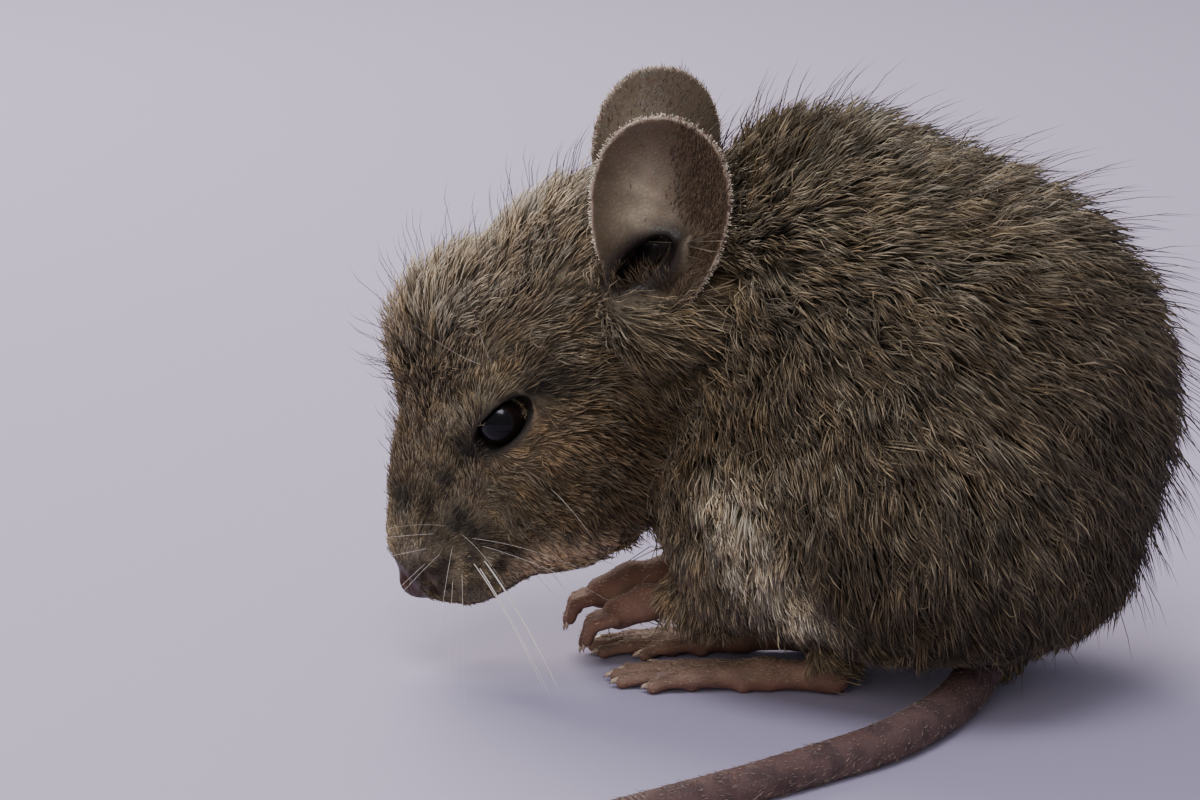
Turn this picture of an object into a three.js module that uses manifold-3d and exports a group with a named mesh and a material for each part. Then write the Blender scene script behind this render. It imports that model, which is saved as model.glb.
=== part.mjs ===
// A young house mouse sitting hunched on its hind feet with its head bowed, life size, in millimetres.
// The solids reach to the tips of the coat. +Z is up, the nose points to -X and the left side is at -Y.
// The body's own frame stands on the floor below the withers. At the end everything is moved so that
// the origin is below the middle of the whole.

import * as THREE from "three";
import { mergeVertices } from "three/addons/utils/BufferGeometryUtils.js";
import Module from "manifold-3d";

const wasm = await Module();
wasm.setup();

// ---- driving dimensions

const cut = 0.3; // width of the thin cuts that part the body
const headTurn = 10; // degrees, the head turned to the left
const headPivot = [-7.9, 0.8, 0];
const trunkFacets = 7; // facets along each side of the ball's twenty faces
const headFacets = 7;
const neckFacets = 5;
const trunkCentre = [0, 0, 17.5];
const neckCentre = [-10.5, 0.4, 22.5];
const headCentre = [-14.5, 0, 20.5]; // in the head's frame
const eyeRadius = 1.65;
const eyeCentre = [-18.5, 6.0, 18.6];
const eyeSlant = 38; // degrees, the outer corner of the lids above the inner one
const lidOpening = [2.3, 2.2, 1.45]; // half sizes of the almond that the lids leave open
const lidDepth = 1.4; // how far before the eye's centre the almond lies
const earCentre = [-8.5, 9.5, 32.5];
const earHalfWidth = 4.4;
const earHalfHeight = 6.9;
const earThickness = 0.7;
const earCupDepth = 2.4;
const earTaper = 0.22; // share by which the ear is wider above its middle and narrower below it
const earLean = 7; // degrees, the tip leant back
const earSplay = 3; // degrees, the tip leant out
const earForward = -15; // degrees, the cup turned to the front
const hindFeet = {
  left: { heel: [-4.4, -4.7, 0], turn: 0 },
  right: { heel: [-7.2, 3.9, 0], turn: 10 }, // degrees, the toes turned in
};
const soleWear = 0.18; // how much of the round soles is flattened by standing
const wrists = { left: [-14.6, -2.1, 5.3], right: [-16.4, 1.9, 5.6] };
const elbows = { left: [-9.6, -6.2, 8.6], right: [-10.6, 6.2, 8.6] };
const tailRadius = [1.8, 1.65, 1.5, 1.4, 1.3, 1.2, 1.05, 0.9, 0.72, 0.5]; // root to tip
const tailLengths = 4;

const up = new THREE.Vector3(0, 0, 1);
const ahead = new THREE.Vector3(-1, 0, 0);
const sides = [["left", -1], ["right", 1]];

// ---- materials

const finish = (color, roughness) => new THREE.MeshStandardMaterial({ color, roughness, metalness: 0 });
const coat = finish("#6b6152", 0.95);
const underCoat = finish("#8c8070", 0.95);
const skin = finish("#a3877c", 0.6);
const earSkin = finish("#7d6c62", 0.6);
const tailSkin = finish("#7c6a66", 0.7);
const noseSkin = finish("#6b4a45", 0.45);
const eyeball = finish("#0b0a0c", 0.08);

// ---- solids and cuts

function solidOf(geometry) {
  const bare = new THREE.BufferGeometry();
  bare.setAttribute("position", geometry.getAttribute("position").clone());
  bare.setIndex(geometry.index);
  const merged = mergeVertices(bare, 1e-4);
  const triVerts = new Uint32Array(merged.index.array);
  const vertProperties = merged.getAttribute("position").array;
  return new wasm.Manifold(new wasm.Mesh({ numProp: 3, vertProperties, triVerts }));
}

function geometryOf(solid) {
  const mesh = solid.getMesh();
  const geometry = new THREE.BufferGeometry();
  geometry.setAttribute("position", new THREE.BufferAttribute(mesh.vertProperties, 3));
  geometry.setIndex(new THREE.BufferAttribute(mesh.triVerts, 1));
  geometry.computeVertexNormals();
  return geometry;
}

// Everything on the side of a plane that its normal points to, as a large block.
function beyond(point, normal, offset = 0) {
  const size = 200;
  const block = new THREE.BoxGeometry(size, size, size);
  block.translate(0, 0, size / 2 + offset);
  const n = new THREE.Vector3(...normal).normalize();
  block.applyQuaternion(new THREE.Quaternion().setFromUnitVectors(up, n));
  return solidOf(block.translate(...point));
}

// An egg-shaped block.
function ball({ centre, sizes, pitch = 0 }, margin = 0, around = 12) {
  const geometry = new THREE.SphereGeometry(1, around, Math.round(around * 0.65));
  geometry.scale(sizes[0] + margin, sizes[1] + margin, sizes[2] + margin);
  geometry.rotateY(THREE.MathUtils.degToRad(pitch));
  return solidOf(geometry.translate(...centre));
}

const opposite = (normal) => normal.map((n) => -n);
const join = (solids) => solids.reduce((a, b) => a.add(b));
const mirrored = (solid, sign) => (sign < 0 ? solid : solid.mirror([0, 1, 0]));
const largest = (solid) => solid.decompose().reduce((a, b) => (a.volume() > b.volume() ? a : b));

// ---- soft forms: rounded lumps that melt into each other

// An egg-shaped lump: its centre, its half sizes and its pitch and yaw in degrees.
function lump(centre, sizes, pitch = 0, yaw = 0) {
  const angles = [0, THREE.MathUtils.degToRad(pitch), THREE.MathUtils.degToRad(yaw)];
  const back = new THREE.Quaternion().setFromEuler(new THREE.Euler(...angles, "ZYX")).invert();
  const p = new THREE.Vector3();
  return (point) => {
    p.set(point.x - centre[0], point.y - centre[1], point.z - centre[2]).applyQuaternion(back);
    const [x, y, z] = [p.x / sizes[0], p.y / sizes[1], p.z / sizes[2]];
    const near = Math.hypot(x, y, z);
    const slope = Math.hypot(x / sizes[0], y / sizes[1], z / sizes[2]);
    return slope < 1e-9 ? -Math.min(...sizes) : (near * (near - 1)) / slope;
  };
}

// The same lump on both sides of the middle.
function pairOf(centre, sizes, pitch = 0) {
  const one = lump(centre, sizes, pitch);
  const folded = new THREE.Vector3();
  return (point) => one(folded.set(point.x, Math.abs(point.y), point.z));
}

function melt(lumps, softness) {
  return (point) =>
    lumps.reduce((level, form) => {
      const other = form(point);
      const overlap = Math.max(softness - Math.abs(level - other), 0);
      return Math.min(level, other) - (overlap * overlap) / (4 * softness);
    }, 1e3);
}

const swollen = (form, by) => (point) => form(point) - by;

// A skin round a centre: each point of a ball is carried out along its ray to where the form ends.
function skinOf(form, centre, detail) {
  const geometry = new THREE.IcosahedronGeometry(1, detail);
  const points = geometry.getAttribute("position");
  const middle = new THREE.Vector3(...centre);
  const ray = new THREE.Vector3();
  const at = new THREE.Vector3();
  const step = 0.5;
  const halvings = 14;
  for (let i = 0; i < points.count; i++) {
    ray.fromBufferAttribute(points, i).normalize();
    const within = (distance) => form(at.copy(middle).addScaledVector(ray, distance)) < 0;
    let inside = 0;
    while (within(inside + step)) inside += step;
    let outside = inside + step;
    for (let k = 0; k < halvings; k++) {
      const half = (inside + outside) / 2;
      if (within(half)) inside = half;
      else outside = half;
    }
    at.copy(middle).addScaledVector(ray, inside);
    points.setXYZ(i, at.x, at.y, at.z);
  }
  return solidOf(geometry);
}

// A round bar through stations [x, y, z, half width, half height], with round ends.
function bar(stations, around, steps, upward = up) {
  const line = new THREE.CatmullRomCurve3(stations.map(([x, y, z]) => new THREE.Vector3(x, y, z)));
  const girth = new THREE.CatmullRomCurve3(
    stations.map(([, , , width, height]) => new THREE.Vector3(width, height ?? width, 0)),
  );
  const capRings = around > 6 ? 2 : 1;
  const endShare = (k) => Math.min(stations.at(k)[3] / line.getLength(), 0.3);
  const rings = [];
  for (let k = 0; k <= capRings; k++) {
    const angle = (k / capRings) * (Math.PI / 2);
    rings.push([endShare(0) * (1 - Math.cos(angle)), Math.sin(angle)]);
  }
  for (let k = 1; k < steps; k++) {
    rings.push([THREE.MathUtils.lerp(endShare(0), 1 - endShare(-1), k / steps), 1]);
  }
  for (let k = capRings; k >= 0; k--) {
    const angle = (k / capRings) * (Math.PI / 2);
    rings.push([1 - endShare(-1) * (1 - Math.cos(angle)), Math.sin(angle)]);
  }
  const geometry = new THREE.SphereGeometry(1, around, rings.length - 1);
  const points = geometry.getAttribute("position");
  const at = new THREE.Vector3();
  const side = new THREE.Vector3();
  const top = new THREE.Vector3();
  rings.forEach(([u, share], row) => {
    const size = girth.getPoint(line.getUtoTmapping(u));
    const tangent = line.getTangentAt(u);
    side.crossVectors(upward, tangent).normalize();
    top.crossVectors(tangent, side);
    for (let column = 0; column <= around; column++) {
      const angle = ((column % around) / around) * -2 * Math.PI;
      at.copy(line.getPointAt(u)).addScaledVector(side, Math.cos(angle) * size.x * share);
      at.addScaledVector(top, Math.sin(angle) * size.y * share);
      points.setXYZ(row * (around + 1) + column, at.x, at.y, at.z);
    }
  });
  return solidOf(geometry);
}

// ---- the body's forms, in the body frame

const trunkForm = melt([
  lump([1.7, 0, 19.2], [16.6, 14.4, 16.6]), // rump
  lump([7.2, 0, 9.8], [8.2, 9, 7.0]), // under the tail
  lump([-4.3, 0, 23.5], [11.8, 11.6, 15.2], -12), // withers and back
  lump([-8, 0, 13.7], [7.3, 9.2, 8.8]), // chest
  lump([-0.5, 0, 10.4], [12.5, 10.4, 7.4]), // belly
  pairOf([1.2, 8.2, 13.8], [11.2, 7.3, 9.2], 8), // thighs
  pairOf([-8.2, 6.8, 14.7], [6.2, 4.8, 8.2], 10), // shoulders
], 5);
const neckForm = melt([
  lump([-12, 0.3, 24.5], [9.5, 8.6, 10.4], -10, 8),
  lump([-13, 0, 15.7], [6.3, 7.2, 8.3], 0, 8), // throat
], 4);

// The head's own frame stands at the pivot and turns with the head.
const headForm = melt([
  lump([-11.8, 0, 24.4], [9.4, 8.2, 9.7]), // skull
  lump([-19.2, 0, 22.5], [7.3, 6.0, 6.8]), // forehead
  lump([-21.6, 0, 13.8], [4.9, 4.2, 7.8], 4), // bridge of the nose
  lump([-22.4, 0, 8.6], [3.6, 3.3, 3.5]), // end of the muzzle
  pairOf([-20.3, 1.9, 9.0], [3.0, 2.6, 3.4]), // whisker pads
  pairOf([-14.2, 3.9, 16.4], [7.1, 4.8, 7.6], 20), // cheeks
  lump([-15, 0, 11.6], [6.2, 4.5, 5.0], 15), // lower jaw
], 3);

const headMatrix = new THREE.Matrix4()
  .makeRotationZ(THREE.MathUtils.degToRad(headTurn))
  .setPosition(...headPivot);
const bodyToHead = headMatrix.clone().invert();
const inHead = new THREE.Vector3();
const headInBody = (point) => headForm(inHead.copy(point).applyMatrix4(bodyToHead));
const wholeForm = melt([trunkForm, neckForm, headInBody], 3);
const inBody = new THREE.Vector3();
const wholeInHead = (point) => wholeForm(inBody.copy(point).applyMatrix4(headMatrix));

const mouse = new THREE.Group();
const head = new THREE.Group();
head.applyMatrix4(headMatrix);
mouse.add(head);

function place(group, name, solid, material) {
  const mesh = new THREE.Mesh(geometryOf(largest(solid)), material);
  mesh.name = name;
  group.add(mesh);
}

// ---- the head, in its own frame

const neckPlane = { point: [-6.6, 0, 21.2], normal: [-0.976, 0, 0.216] }; // behind the ears and the jaw
const jaw = { centre: [-14.6, 0, 6.4], sizes: [6.6, 5.2, 6.4] };
const nose = { centre: [-24.0, 0, 6.4], sizes: [1.7, 1.5, 1.5] };

// The ear is a thin cup, wide and round above and narrow at its notch. Its two faces stand this far
// before and behind the middle of the leaf.
function earSolid(before, behind, margin = 0) {
  const ear = new THREE.SphereGeometry(1, 14, 9);
  const points = ear.getAttribute("position");
  for (let i = 0; i < points.count; i++) {
    const [x, y, z] = [points.getX(i), points.getY(i), points.getZ(i)];
    const out = Math.min(1, Math.hypot(x, z));
    const width = (earHalfWidth + margin) * (1 + earTaper * z);
    const face = (y > 0 ? behind : -before) * Math.sqrt(1 - out ** 8);
    const cup = earCupDepth * (1 - out * out) * (1 - 0.35 * z);
    points.setXYZ(i, x * width, cup + face, z * (earHalfHeight + margin));
  }
  ear.rotateY(THREE.MathUtils.degToRad(earLean));
  ear.rotateX(THREE.MathUtils.degToRad(earSplay));
  ear.rotateZ(THREE.MathUtils.degToRad(earForward));
  return solidOf(ear.translate(earCentre[0], -earCentre[1], earCentre[2]));
}

let skull = skinOf(wholeInHead, headCentre, headFacets);
skull = skull.intersect(beyond(neckPlane.point, neckPlane.normal, cut / 2));
place(head, "lower_jaw", skull.intersect(ball(jaw)), underCoat);
skull = skull.subtract(ball(jaw, cut));
place(head, "nose", ball(nose, 0, 10), noseSkin);
skull = skull.subtract(ball(nose, cut, 10));
for (const [side, sign] of sides) {
  const [x, y, z] = eyeCentre;
  const eye = { centre: [x, sign * y, z], sizes: [eyeRadius, eyeRadius, eyeRadius] };
  const lids = { centre: [x, sign * (y + lidDepth), z], sizes: lidOpening, pitch: -eyeSlant };
  skull = skull.subtract(ball(eye, cut)).subtract(ball(lids));
  place(head, `eye_${side}`, ball(eye), eyeball);
  const half = earThickness / 2;
  const hollow = 5; // the fur stays clear of the cup this far out
  skull = skull.subtract(mirrored(earSolid(hollow, half + cut, cut), sign));
  place(head, `ear_${side}`, mirrored(earSolid(half, half), sign), earSkin);
}
place(head, "head", skull, coat);

// ---- the neck and the trunk

const withers = { point: [-8.3, 0, 23.2], normal: [-0.96, -0.06, 0.24] };
const behindHead = {
  point: new THREE.Vector3(...neckPlane.point).applyMatrix4(headMatrix).toArray(),
  normal: new THREE.Vector3(...neckPlane.normal).transformDirection(headMatrix).negate().toArray(),
};
let neck = skinOf(wholeForm, neckCentre, neckFacets);
neck = neck.intersect(beyond(behindHead.point, behindHead.normal, cut / 2));
neck = neck.intersect(beyond(withers.point, withers.normal, cut / 2));
place(mouse, "neck", neck, coat);

let trunk = skinOf(wholeForm, trunkCentre, trunkFacets);
trunk = trunk.intersect(beyond(withers.point, opposite(withers.normal), cut / 2));
for (const [side, sign] of sides) {
  const haunch = { centre: [1, sign * 12.5, 12], sizes: [8.5, 6.5, 8.5] };
  const shoulder = { centre: [-6.4, sign * 11, 12], sizes: [5, 5, 8] };
  place(mouse, `haunch_${side}`, trunk.intersect(ball(haunch)), coat);
  trunk = trunk.subtract(ball(haunch, cut));
  place(mouse, `shoulder_${side}`, trunk.intersect(ball(shoulder)), coat);
  trunk = trunk.subtract(ball(shoulder, cut));
}
place(mouse, "trunk", trunk, coat);

// The legs and the tail end this far outside the coat.
const clearOfTrunk = skinOf(swollen(wholeForm, cut), trunkCentre, trunkFacets);
const swollenHead = skinOf(swollen(wholeInHead, cut), headCentre, headFacets);
const clearOfHead = swollenHead.transform(headMatrix.toArray());
const outside = (solid) => solid.subtract(clearOfTrunk).subtract(clearOfHead);

// ---- the hind feet: the heel above the origin, the toes to -X and the outer side at -Y

function hindFoot() {
  const pieces = [
    bar([[2.6, -2.2, 8, 2.3], [1.2, -1, 4.6, 1.6], [0.3, -0.2, 1.7, 1.25]], 8, 2, ahead), // shank
    bar([[0.9, 0, 1.1, 0.9, 1.05], [-4, 0, 1.35, 1.25, 1.15], [-10.8, 0.1, 0.9, 1.6, 0.95]], 8, 2),
  ];
  // each toe: where it leaves the foot, its length, and how far its tip spreads
  const toes = [
    [-8.2, 1.2, 2.6, 0.8],
    [-10.2, 0.95, 3.4, 0.4],
    [-10.5, 0.05, 3.7, 0],
    [-10.2, -0.85, 3.4, -0.4],
    [-8.4, -1.2, 3.0, -0.8],
  ];
  for (const [x, y, length, spread] of toes) {
    const [tipX, tipY] = [x - length, y + spread];
    pieces.push(bar([[x, y, 0.75, 0.6], [x - length / 2, y + spread / 2, 0.8, 0.5], [tipX, tipY, 0.45, 0.48]], 5, 2));
    pieces.push(bar([[tipX + 0.4, tipY, 0.5, 0.36], [tipX - 0.5, tipY, 0.5, 0.3], [tipX - 1.1, tipY, 0.3, 0.26]], 4, 1));
  }
  return join(pieces).intersect(beyond([0, 0, soleWear], [0, 0, 1])).translate([0, 0, -soleWear]);
}

// ---- the forepaws: the wrist at the origin, the digits ahead and below

function forePaw() {
  const pieces = [
    bar([[0.6, -0.4, 0.2, 1.1, 1.0], [-1.9, 0, -0.4, 1.3, 0.95], [-4, 0.2, -1.5, 1.4, 0.85]], 8, 2),
    bar([[-2.0, 0.9, -0.8, 0.45], [-3.1, 1.4, -1.6, 0.38]], 6, 1), // thumb
  ];
  // each digit: how far it lies outwards and how long it is
  const digits = [
    [1.2, 2.4],
    [0.5, 2.9],
    [-0.35, 2.9],
    [-1.1, 2.3],
  ];
  for (const [y, length] of digits) {
    const [x, z] = [-4.3, -1.7];
    const knuckle = [x - length * 0.5, y, z - length * 0.25, 0.42];
    const tip = [x - length * 0.7, y, z - length * 0.7, 0.36];
    pieces.push(bar([[x + 0.5, y * 0.9, z + 0.2, 0.5], knuckle, tip], 5, 2));
    pieces.push(bar([[tip[0], y, tip[2], 0.3], [tip[0] - 0.1, y, tip[2] - 0.9, 0.25]], 4, 1, ahead)); // claw
  }
  return join(pieces);
}

for (const [side, sign] of sides) {
  const { heel, turn } = hindFeet[side];
  const foot = mirrored(hindFoot(), sign).rotate([0, 0, sign * turn]).translate(heel);
  place(mouse, `hind_foot_${side}`, outside(foot), skin);

  const [x, y, z] = wrists[side];
  const paw = mirrored(forePaw(), sign).translate([x - cut, y, z]);
  const arm = bar([[...elbows[side], 2.6], [x + 2.2, y + sign * 1.6, z + 0.9, 2.0], [x, y, z, 1.4]], 8, 2);
  const along = [x - elbows[side][0], y - elbows[side][1], z - elbows[side][2]];
  const back = beyond([x, y, z], opposite(along), cut / 2);
  const front = beyond([x, y, z], along, cut / 2);
  place(mouse, `foreleg_${side}`, outside(arm.intersect(back)), coat);
  place(mouse, `forepaw_${side}`, outside(paw.intersect(front)), skin);
}

// ---- the tail, laid on the floor and parted into lengths

const tailRoute = [
  [8.2, 3.8, 7.6],
  [6.3, 0.2, 2.8],
  [5.2, -7.0, 1.35],
  [1.9, -16.0, 1.25],
  [-3.4, -22.9, 1.15],
  [-9.6, -29.4, 1.05],
  [-16.0, -34.9, 0.95],
  [-23.6, -37.6, 0.85],
  [-31.4, -38.0, 0.7],
  [-38.6, -36.9, 0.48],
];
const tail = bar(tailRoute.map((point, k) => [...point, tailRadius[k]]), 8, 14);
const tailLine = new THREE.CatmullRomCurve3(tailRoute.map((point) => new THREE.Vector3(...point)));
for (let k = 0; k < tailLengths; k++) {
  let length = outside(tail).intersect(beyond([0, 0, 0], [0, 0, 1]));
  const cuts = [[k, 1], [k + 1, -1]].filter(([at]) => at > 0 && at < tailLengths);
  for (const [at, way] of cuts) {
    const u = at / tailLengths;
    const across = tailLine.getTangentAt(u).multiplyScalar(way).toArray();
    length = length.intersect(beyond(tailLine.getPointAt(u).toArray(), across, cut / 2));
  }
  place(mouse, `tail_${k + 1}`, length, tailSkin);
}

// ---- the origin goes below the middle of the whole

mouse.updateMatrixWorld(true);
const box = new THREE.Box3().setFromObject(mouse, true);
const middle = box.getCenter(new THREE.Vector3());
mouse.position.set(-middle.x, -middle.y, -box.min.z);

export default mouse;
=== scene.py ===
import math
import bmesh
import bpy
import numpy as np
import openvdb
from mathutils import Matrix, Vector, kdtree


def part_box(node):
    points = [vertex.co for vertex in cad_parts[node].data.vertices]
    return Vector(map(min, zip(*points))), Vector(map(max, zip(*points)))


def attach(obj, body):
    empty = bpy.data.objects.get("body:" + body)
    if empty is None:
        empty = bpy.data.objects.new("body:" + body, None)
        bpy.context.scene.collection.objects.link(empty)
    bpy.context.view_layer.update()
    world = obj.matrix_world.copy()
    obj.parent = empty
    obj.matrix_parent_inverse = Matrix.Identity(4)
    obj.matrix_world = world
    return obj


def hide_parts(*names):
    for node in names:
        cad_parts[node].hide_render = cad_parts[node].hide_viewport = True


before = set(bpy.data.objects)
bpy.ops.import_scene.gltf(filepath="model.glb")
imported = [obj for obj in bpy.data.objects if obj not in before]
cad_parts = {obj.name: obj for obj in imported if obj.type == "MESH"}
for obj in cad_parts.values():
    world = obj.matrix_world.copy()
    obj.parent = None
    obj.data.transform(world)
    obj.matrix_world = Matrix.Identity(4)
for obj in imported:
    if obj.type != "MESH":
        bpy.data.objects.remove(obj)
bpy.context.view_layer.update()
mm = 0.001


# small helpers
def hexColour(text):
    # sRGB hex to linear light
    parts = [int(text[i:i + 2], 16) / 255 for i in (1, 3, 5)]
    return np.array([c / 12.92 if c <= 0.04045 else ((c + 0.055) / 1.055) ** 2.4 for c in parts])


def unit(vectors):
    return vectors / np.maximum(np.linalg.norm(vectors, axis=-1, keepdims=True), 1e-9)


def turned(points, degrees):
    a = math.radians(degrees)
    x, y, z = points[..., 0], points[..., 1], points[..., 2]
    return np.stack([x * math.cos(a) - y * math.sin(a), x * math.sin(a) + y * math.cos(a), z], -1)


def smoothStep(low, high, value):
    t = np.clip((value - low) / (high - low), 0, 1)
    return t * t * (3 - 2 * t)


def waves(points, wavelength, seed):
    # a smooth field of chance, about -1 to 1
    draw = np.random.default_rng(seed)
    value = np.zeros(len(points))
    for _ in range(9):
        way = unit(draw.normal(size=3)) * (2 * math.pi / wavelength) * draw.uniform(0.7, 1.5)
        value += np.sin(points @ way + draw.uniform(0, 2 * math.pi))
    return value / 3


def columns(points):
    return [points[:, 0], points[:, 1], points[:, 2]]


def readArray(items, name, width, kind=np.float32):
    values = np.empty(len(items) * width, kind)
    items.foreach_get(name, values)
    return values.reshape(-1, width)


def intoScene(name, data):
    made = bpy.data.objects.new(name, data)
    bpy.context.collection.objects.link(made)
    return made


def paintPoints(mesh, layerName, tones):
    layer = mesh.attributes.new(layerName, "FLOAT_COLOR", "POINT")
    layer.data.foreach_set("color", np.column_stack([tones, np.ones(len(tones))]).astype(np.float32).ravel())


def mixIn(tone, colour, weight):
    colour = hexColour(colour) if isinstance(colour, str) else colour
    weight = np.asarray(weight)[:, None]
    return tone * (1 - weight) + colour * weight


def node(tree, kind, settings=None, inputs=None):
    # one node, with its settings, and its inputs set or linked
    made = tree.nodes.new(kind)
    for name, value in (settings or {}).items():
        setattr(made, name, value)
    for name, value in (inputs or {}).items():
        if isinstance(value, bpy.types.NodeSocket):
            tree.links.new(value, made.inputs[name])
        else:
            made.inputs[name].default_value = value
    return made


def newMaterial(name, settings):
    material = bpy.data.materials.new(name)
    material.use_nodes = True
    shader = material.node_tree.nodes["Principled BSDF"]
    for key, value in settings.items():
        shader.inputs[key].default_value = value
    return material, material.node_tree, shader


def tintedBy(tree, colour, height, low, high):
    # the colour, darker where the height is low
    share = node(tree, "ShaderNodeMapRange", None, {"Value": height, "To Min": low, "To Max": high})
    return node(tree, "ShaderNodeMix", {"data_type": "RGBA", "blend_type": "MULTIPLY"},
                {"Factor": 1.0, 6: colour, 7: share.outputs["Result"]}).outputs[2]


# places, in millimetres in the body's frame, whose origin is on the floor below the withers
body = {
    "headTurn": 10.0,           # degrees to the left
    "headPivot": (-7.9, 0.8, 0.0),
    "eye": (-18.5, 6.0, 18.6),  # in the head's frame, which stands at the pivot
    "eyeRadius": 1.62,
}
pivot = np.array(body["headPivot"])
eyeX, eyeY, eyeZ = body["eye"]


def headToBody(points):
    return turned(np.asarray(points, float), body["headTurn"]) + pivot


eyeLow, eyeHigh = [np.array(corner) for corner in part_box("eye_left")]
leftEye = headToBody(np.array(body["eye"]) * (1, -1, 1))
shift = (eyeLow + eyeHigh) / 2 - leftEye * mm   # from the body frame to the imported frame


def toScene(points):
    return np.asarray(points) * mm + shift


def toBody(points):
    return (points - shift) / mm


# the camera, the floor and the light
view = {
    "place": (23.32, -246.34, 80.58),   # mm, in the body's frame
    "azimuth": 10.0,                    # degrees from the mouse's left side towards its tail
    "elevation": 14.0,
    "lens": 115.5,                      # mm
    "sensor": 36,                       # mm wide
    "sees": (0.01, 20),                 # m, nearest and farthest
}


def addCamera():
    data = bpy.data.cameras.new("camera")
    data.lens = view["lens"]
    data.sensor_width = view["sensor"]
    data.clip_start, data.clip_end = view["sees"]
    data.dof.use_dof = False
    camera = intoScene("camera", data)
    camera.location = toScene(view["place"])
    camera.rotation_euler = (math.radians(90 - view["elevation"]), 0, math.radians(view["azimuth"]))
    bpy.context.scene.camera = camera


studio = {
    "floorSize": 6.0,              # m
    "floorColour": "#8a8399",
    "dome": ("#dfe2ee", 0.56),     # colour and strength of the light from all round
    "aim": (0, 0, 18),             # mm, where the lamps point
    # name, place round the mouse in mm, size in mm, power in W, colour
    "lamps": [
        ("window", (-230, 250, 330), 330, 4.5, "#fff8f2"),
        ("top", (-40, -190, 400), 190, 1.75, "#f2f4ff"),
        ("fill", (-60, -430, 190), 340, 1.5, "#fff7ee"),
    ],
}


def addFloor():
    half = studio["floorSize"] / 2
    mesh = bpy.data.meshes.new("floor")
    corners = [(-half, -half, 0), (half, -half, 0), (half, half, 0), (-half, half, 0)]
    mesh.from_pydata(corners, [], [(0, 1, 2, 3)])
    # paper without a coating has no gloss, so it shows only the soft shadow
    paper = newMaterial("paper backdrop, matt and uncoated", {
        "Base Color": (*hexColour(studio["floorColour"]), 1), "Roughness": 0.9})[0]
    mesh.materials.append(paper)
    floor = intoScene("floor", mesh)


def addLights():
    world = bpy.data.worlds.new("studio")
    bpy.context.scene.world = world
    world.use_nodes = True
    colour, strength = studio["dome"]
    sky = world.node_tree.nodes["Background"]
    sky.inputs["Color"].default_value = (*hexColour(colour), 1)
    sky.inputs["Strength"].default_value = strength
    aim = Vector(toScene(studio["aim"]))
    for name, place, size, power, colour in studio["lamps"]:
        data = bpy.data.lights.new(name, "AREA")
        data.size, data.energy, data.color = size * mm, power, hexColour(colour)
        lamp = intoScene(name, data)
        lamp.location = toScene(place)
        lamp.visible_glossy = name != "fill"     # the fill leaves no square light in the eyes
        lamp.rotation_euler = (aim - lamp.location).to_track_quat("-Z", "Y").to_euler()


addCamera()
addFloor()
addLights()
print("camera, floor and light set")


# soft forms: the distance to rounded lumps that melt into each other
def lump(p, centre, sizes, pitch=0.0, yaw=0.0):
    q = [p[0] - centre[0], p[1] - centre[1], p[2] - centre[2]]
    if yaw:
        a = math.radians(yaw)
        q = [q[0] * math.cos(a) + q[1] * math.sin(a), q[1] * math.cos(a) - q[0] * math.sin(a), q[2]]
    if pitch:
        a = math.radians(pitch)
        q = [q[0] * math.cos(a) - q[2] * math.sin(a), q[1], q[2] * math.cos(a) + q[0] * math.sin(a)]
    near = np.sqrt(sum((q[i] / sizes[i]) ** 2 for i in range(3)))
    slope = np.sqrt(sum((q[i] / sizes[i] ** 2) ** 2 for i in range(3)))
    return near * (near - 1) / np.maximum(slope, 1e-6)


def pairOf(p, centre, sizes, pitch=0.0):
    return lump([p[0], np.abs(p[1]), p[2]], centre, sizes, pitch)


def bar(p, start, end, startRadius, endRadius):
    along = np.subtract(end, start)
    length2 = float(along @ along)
    rel = [p[i] - start[i] for i in range(3)]
    t = np.clip(sum(rel[i] * along[i] for i in range(3)) / length2, 0, 1)
    away = np.sqrt(sum((rel[i] - t * along[i]) ** 2 for i in range(3)))
    return away - (startRadius + t * (endRadius - startRadius))


def melt(a, b, softness):
    overlap = np.maximum(softness - np.abs(a - b), 0)
    return np.minimum(a, b) - overlap * overlap / (4 * softness)


def hollow(a, b, softness):
    return -melt(-a, b, softness)


def meltAll(fields, softness):
    level = fields[0]
    for field in fields[1:]:
        level = melt(level, field, softness)
    return level


def inHead(p):
    a = math.radians(body["headTurn"])
    x, y = p[0] - pivot[0], p[1] - pivot[1]
    return [x * math.cos(a) + y * math.sin(a), y * math.cos(a) - x * math.sin(a), p[2]]


# the outline of the coat, the same forms as the solids
def trunkForm(p):
    return meltAll([
        lump(p, (1.7, 0, 19.2), (16.6, 14.4, 16.6)),         # rump
        lump(p, (7.2, 0, 9.8), (8.2, 9, 7.0)),               # under the tail
        lump(p, (-4.3, 0, 23.5), (11.8, 11.6, 15.2), -12),   # withers and back
        lump(p, (-8, 0, 13.7), (7.3, 9.2, 8.8)),             # chest
        lump(p, (-0.5, 0, 10.4), (12.5, 10.4, 7.4)),         # belly
        pairOf(p, (1.2, 8.2, 13.8), (11.2, 7.3, 9.2), 8),    # thighs
        pairOf(p, (-8.2, 6.8, 14.7), (6.2, 4.8, 8.2), 10),   # shoulders
    ], 5)


def neckForm(p):
    return melt(
        lump(p, (-12, 0.3, 24.5), (9.5, 8.6, 10.4), -10, 8),
        lump(p, (-13, 0, 15.7), (6.3, 7.2, 8.3), 0, 8),      # throat
        4)


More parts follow.
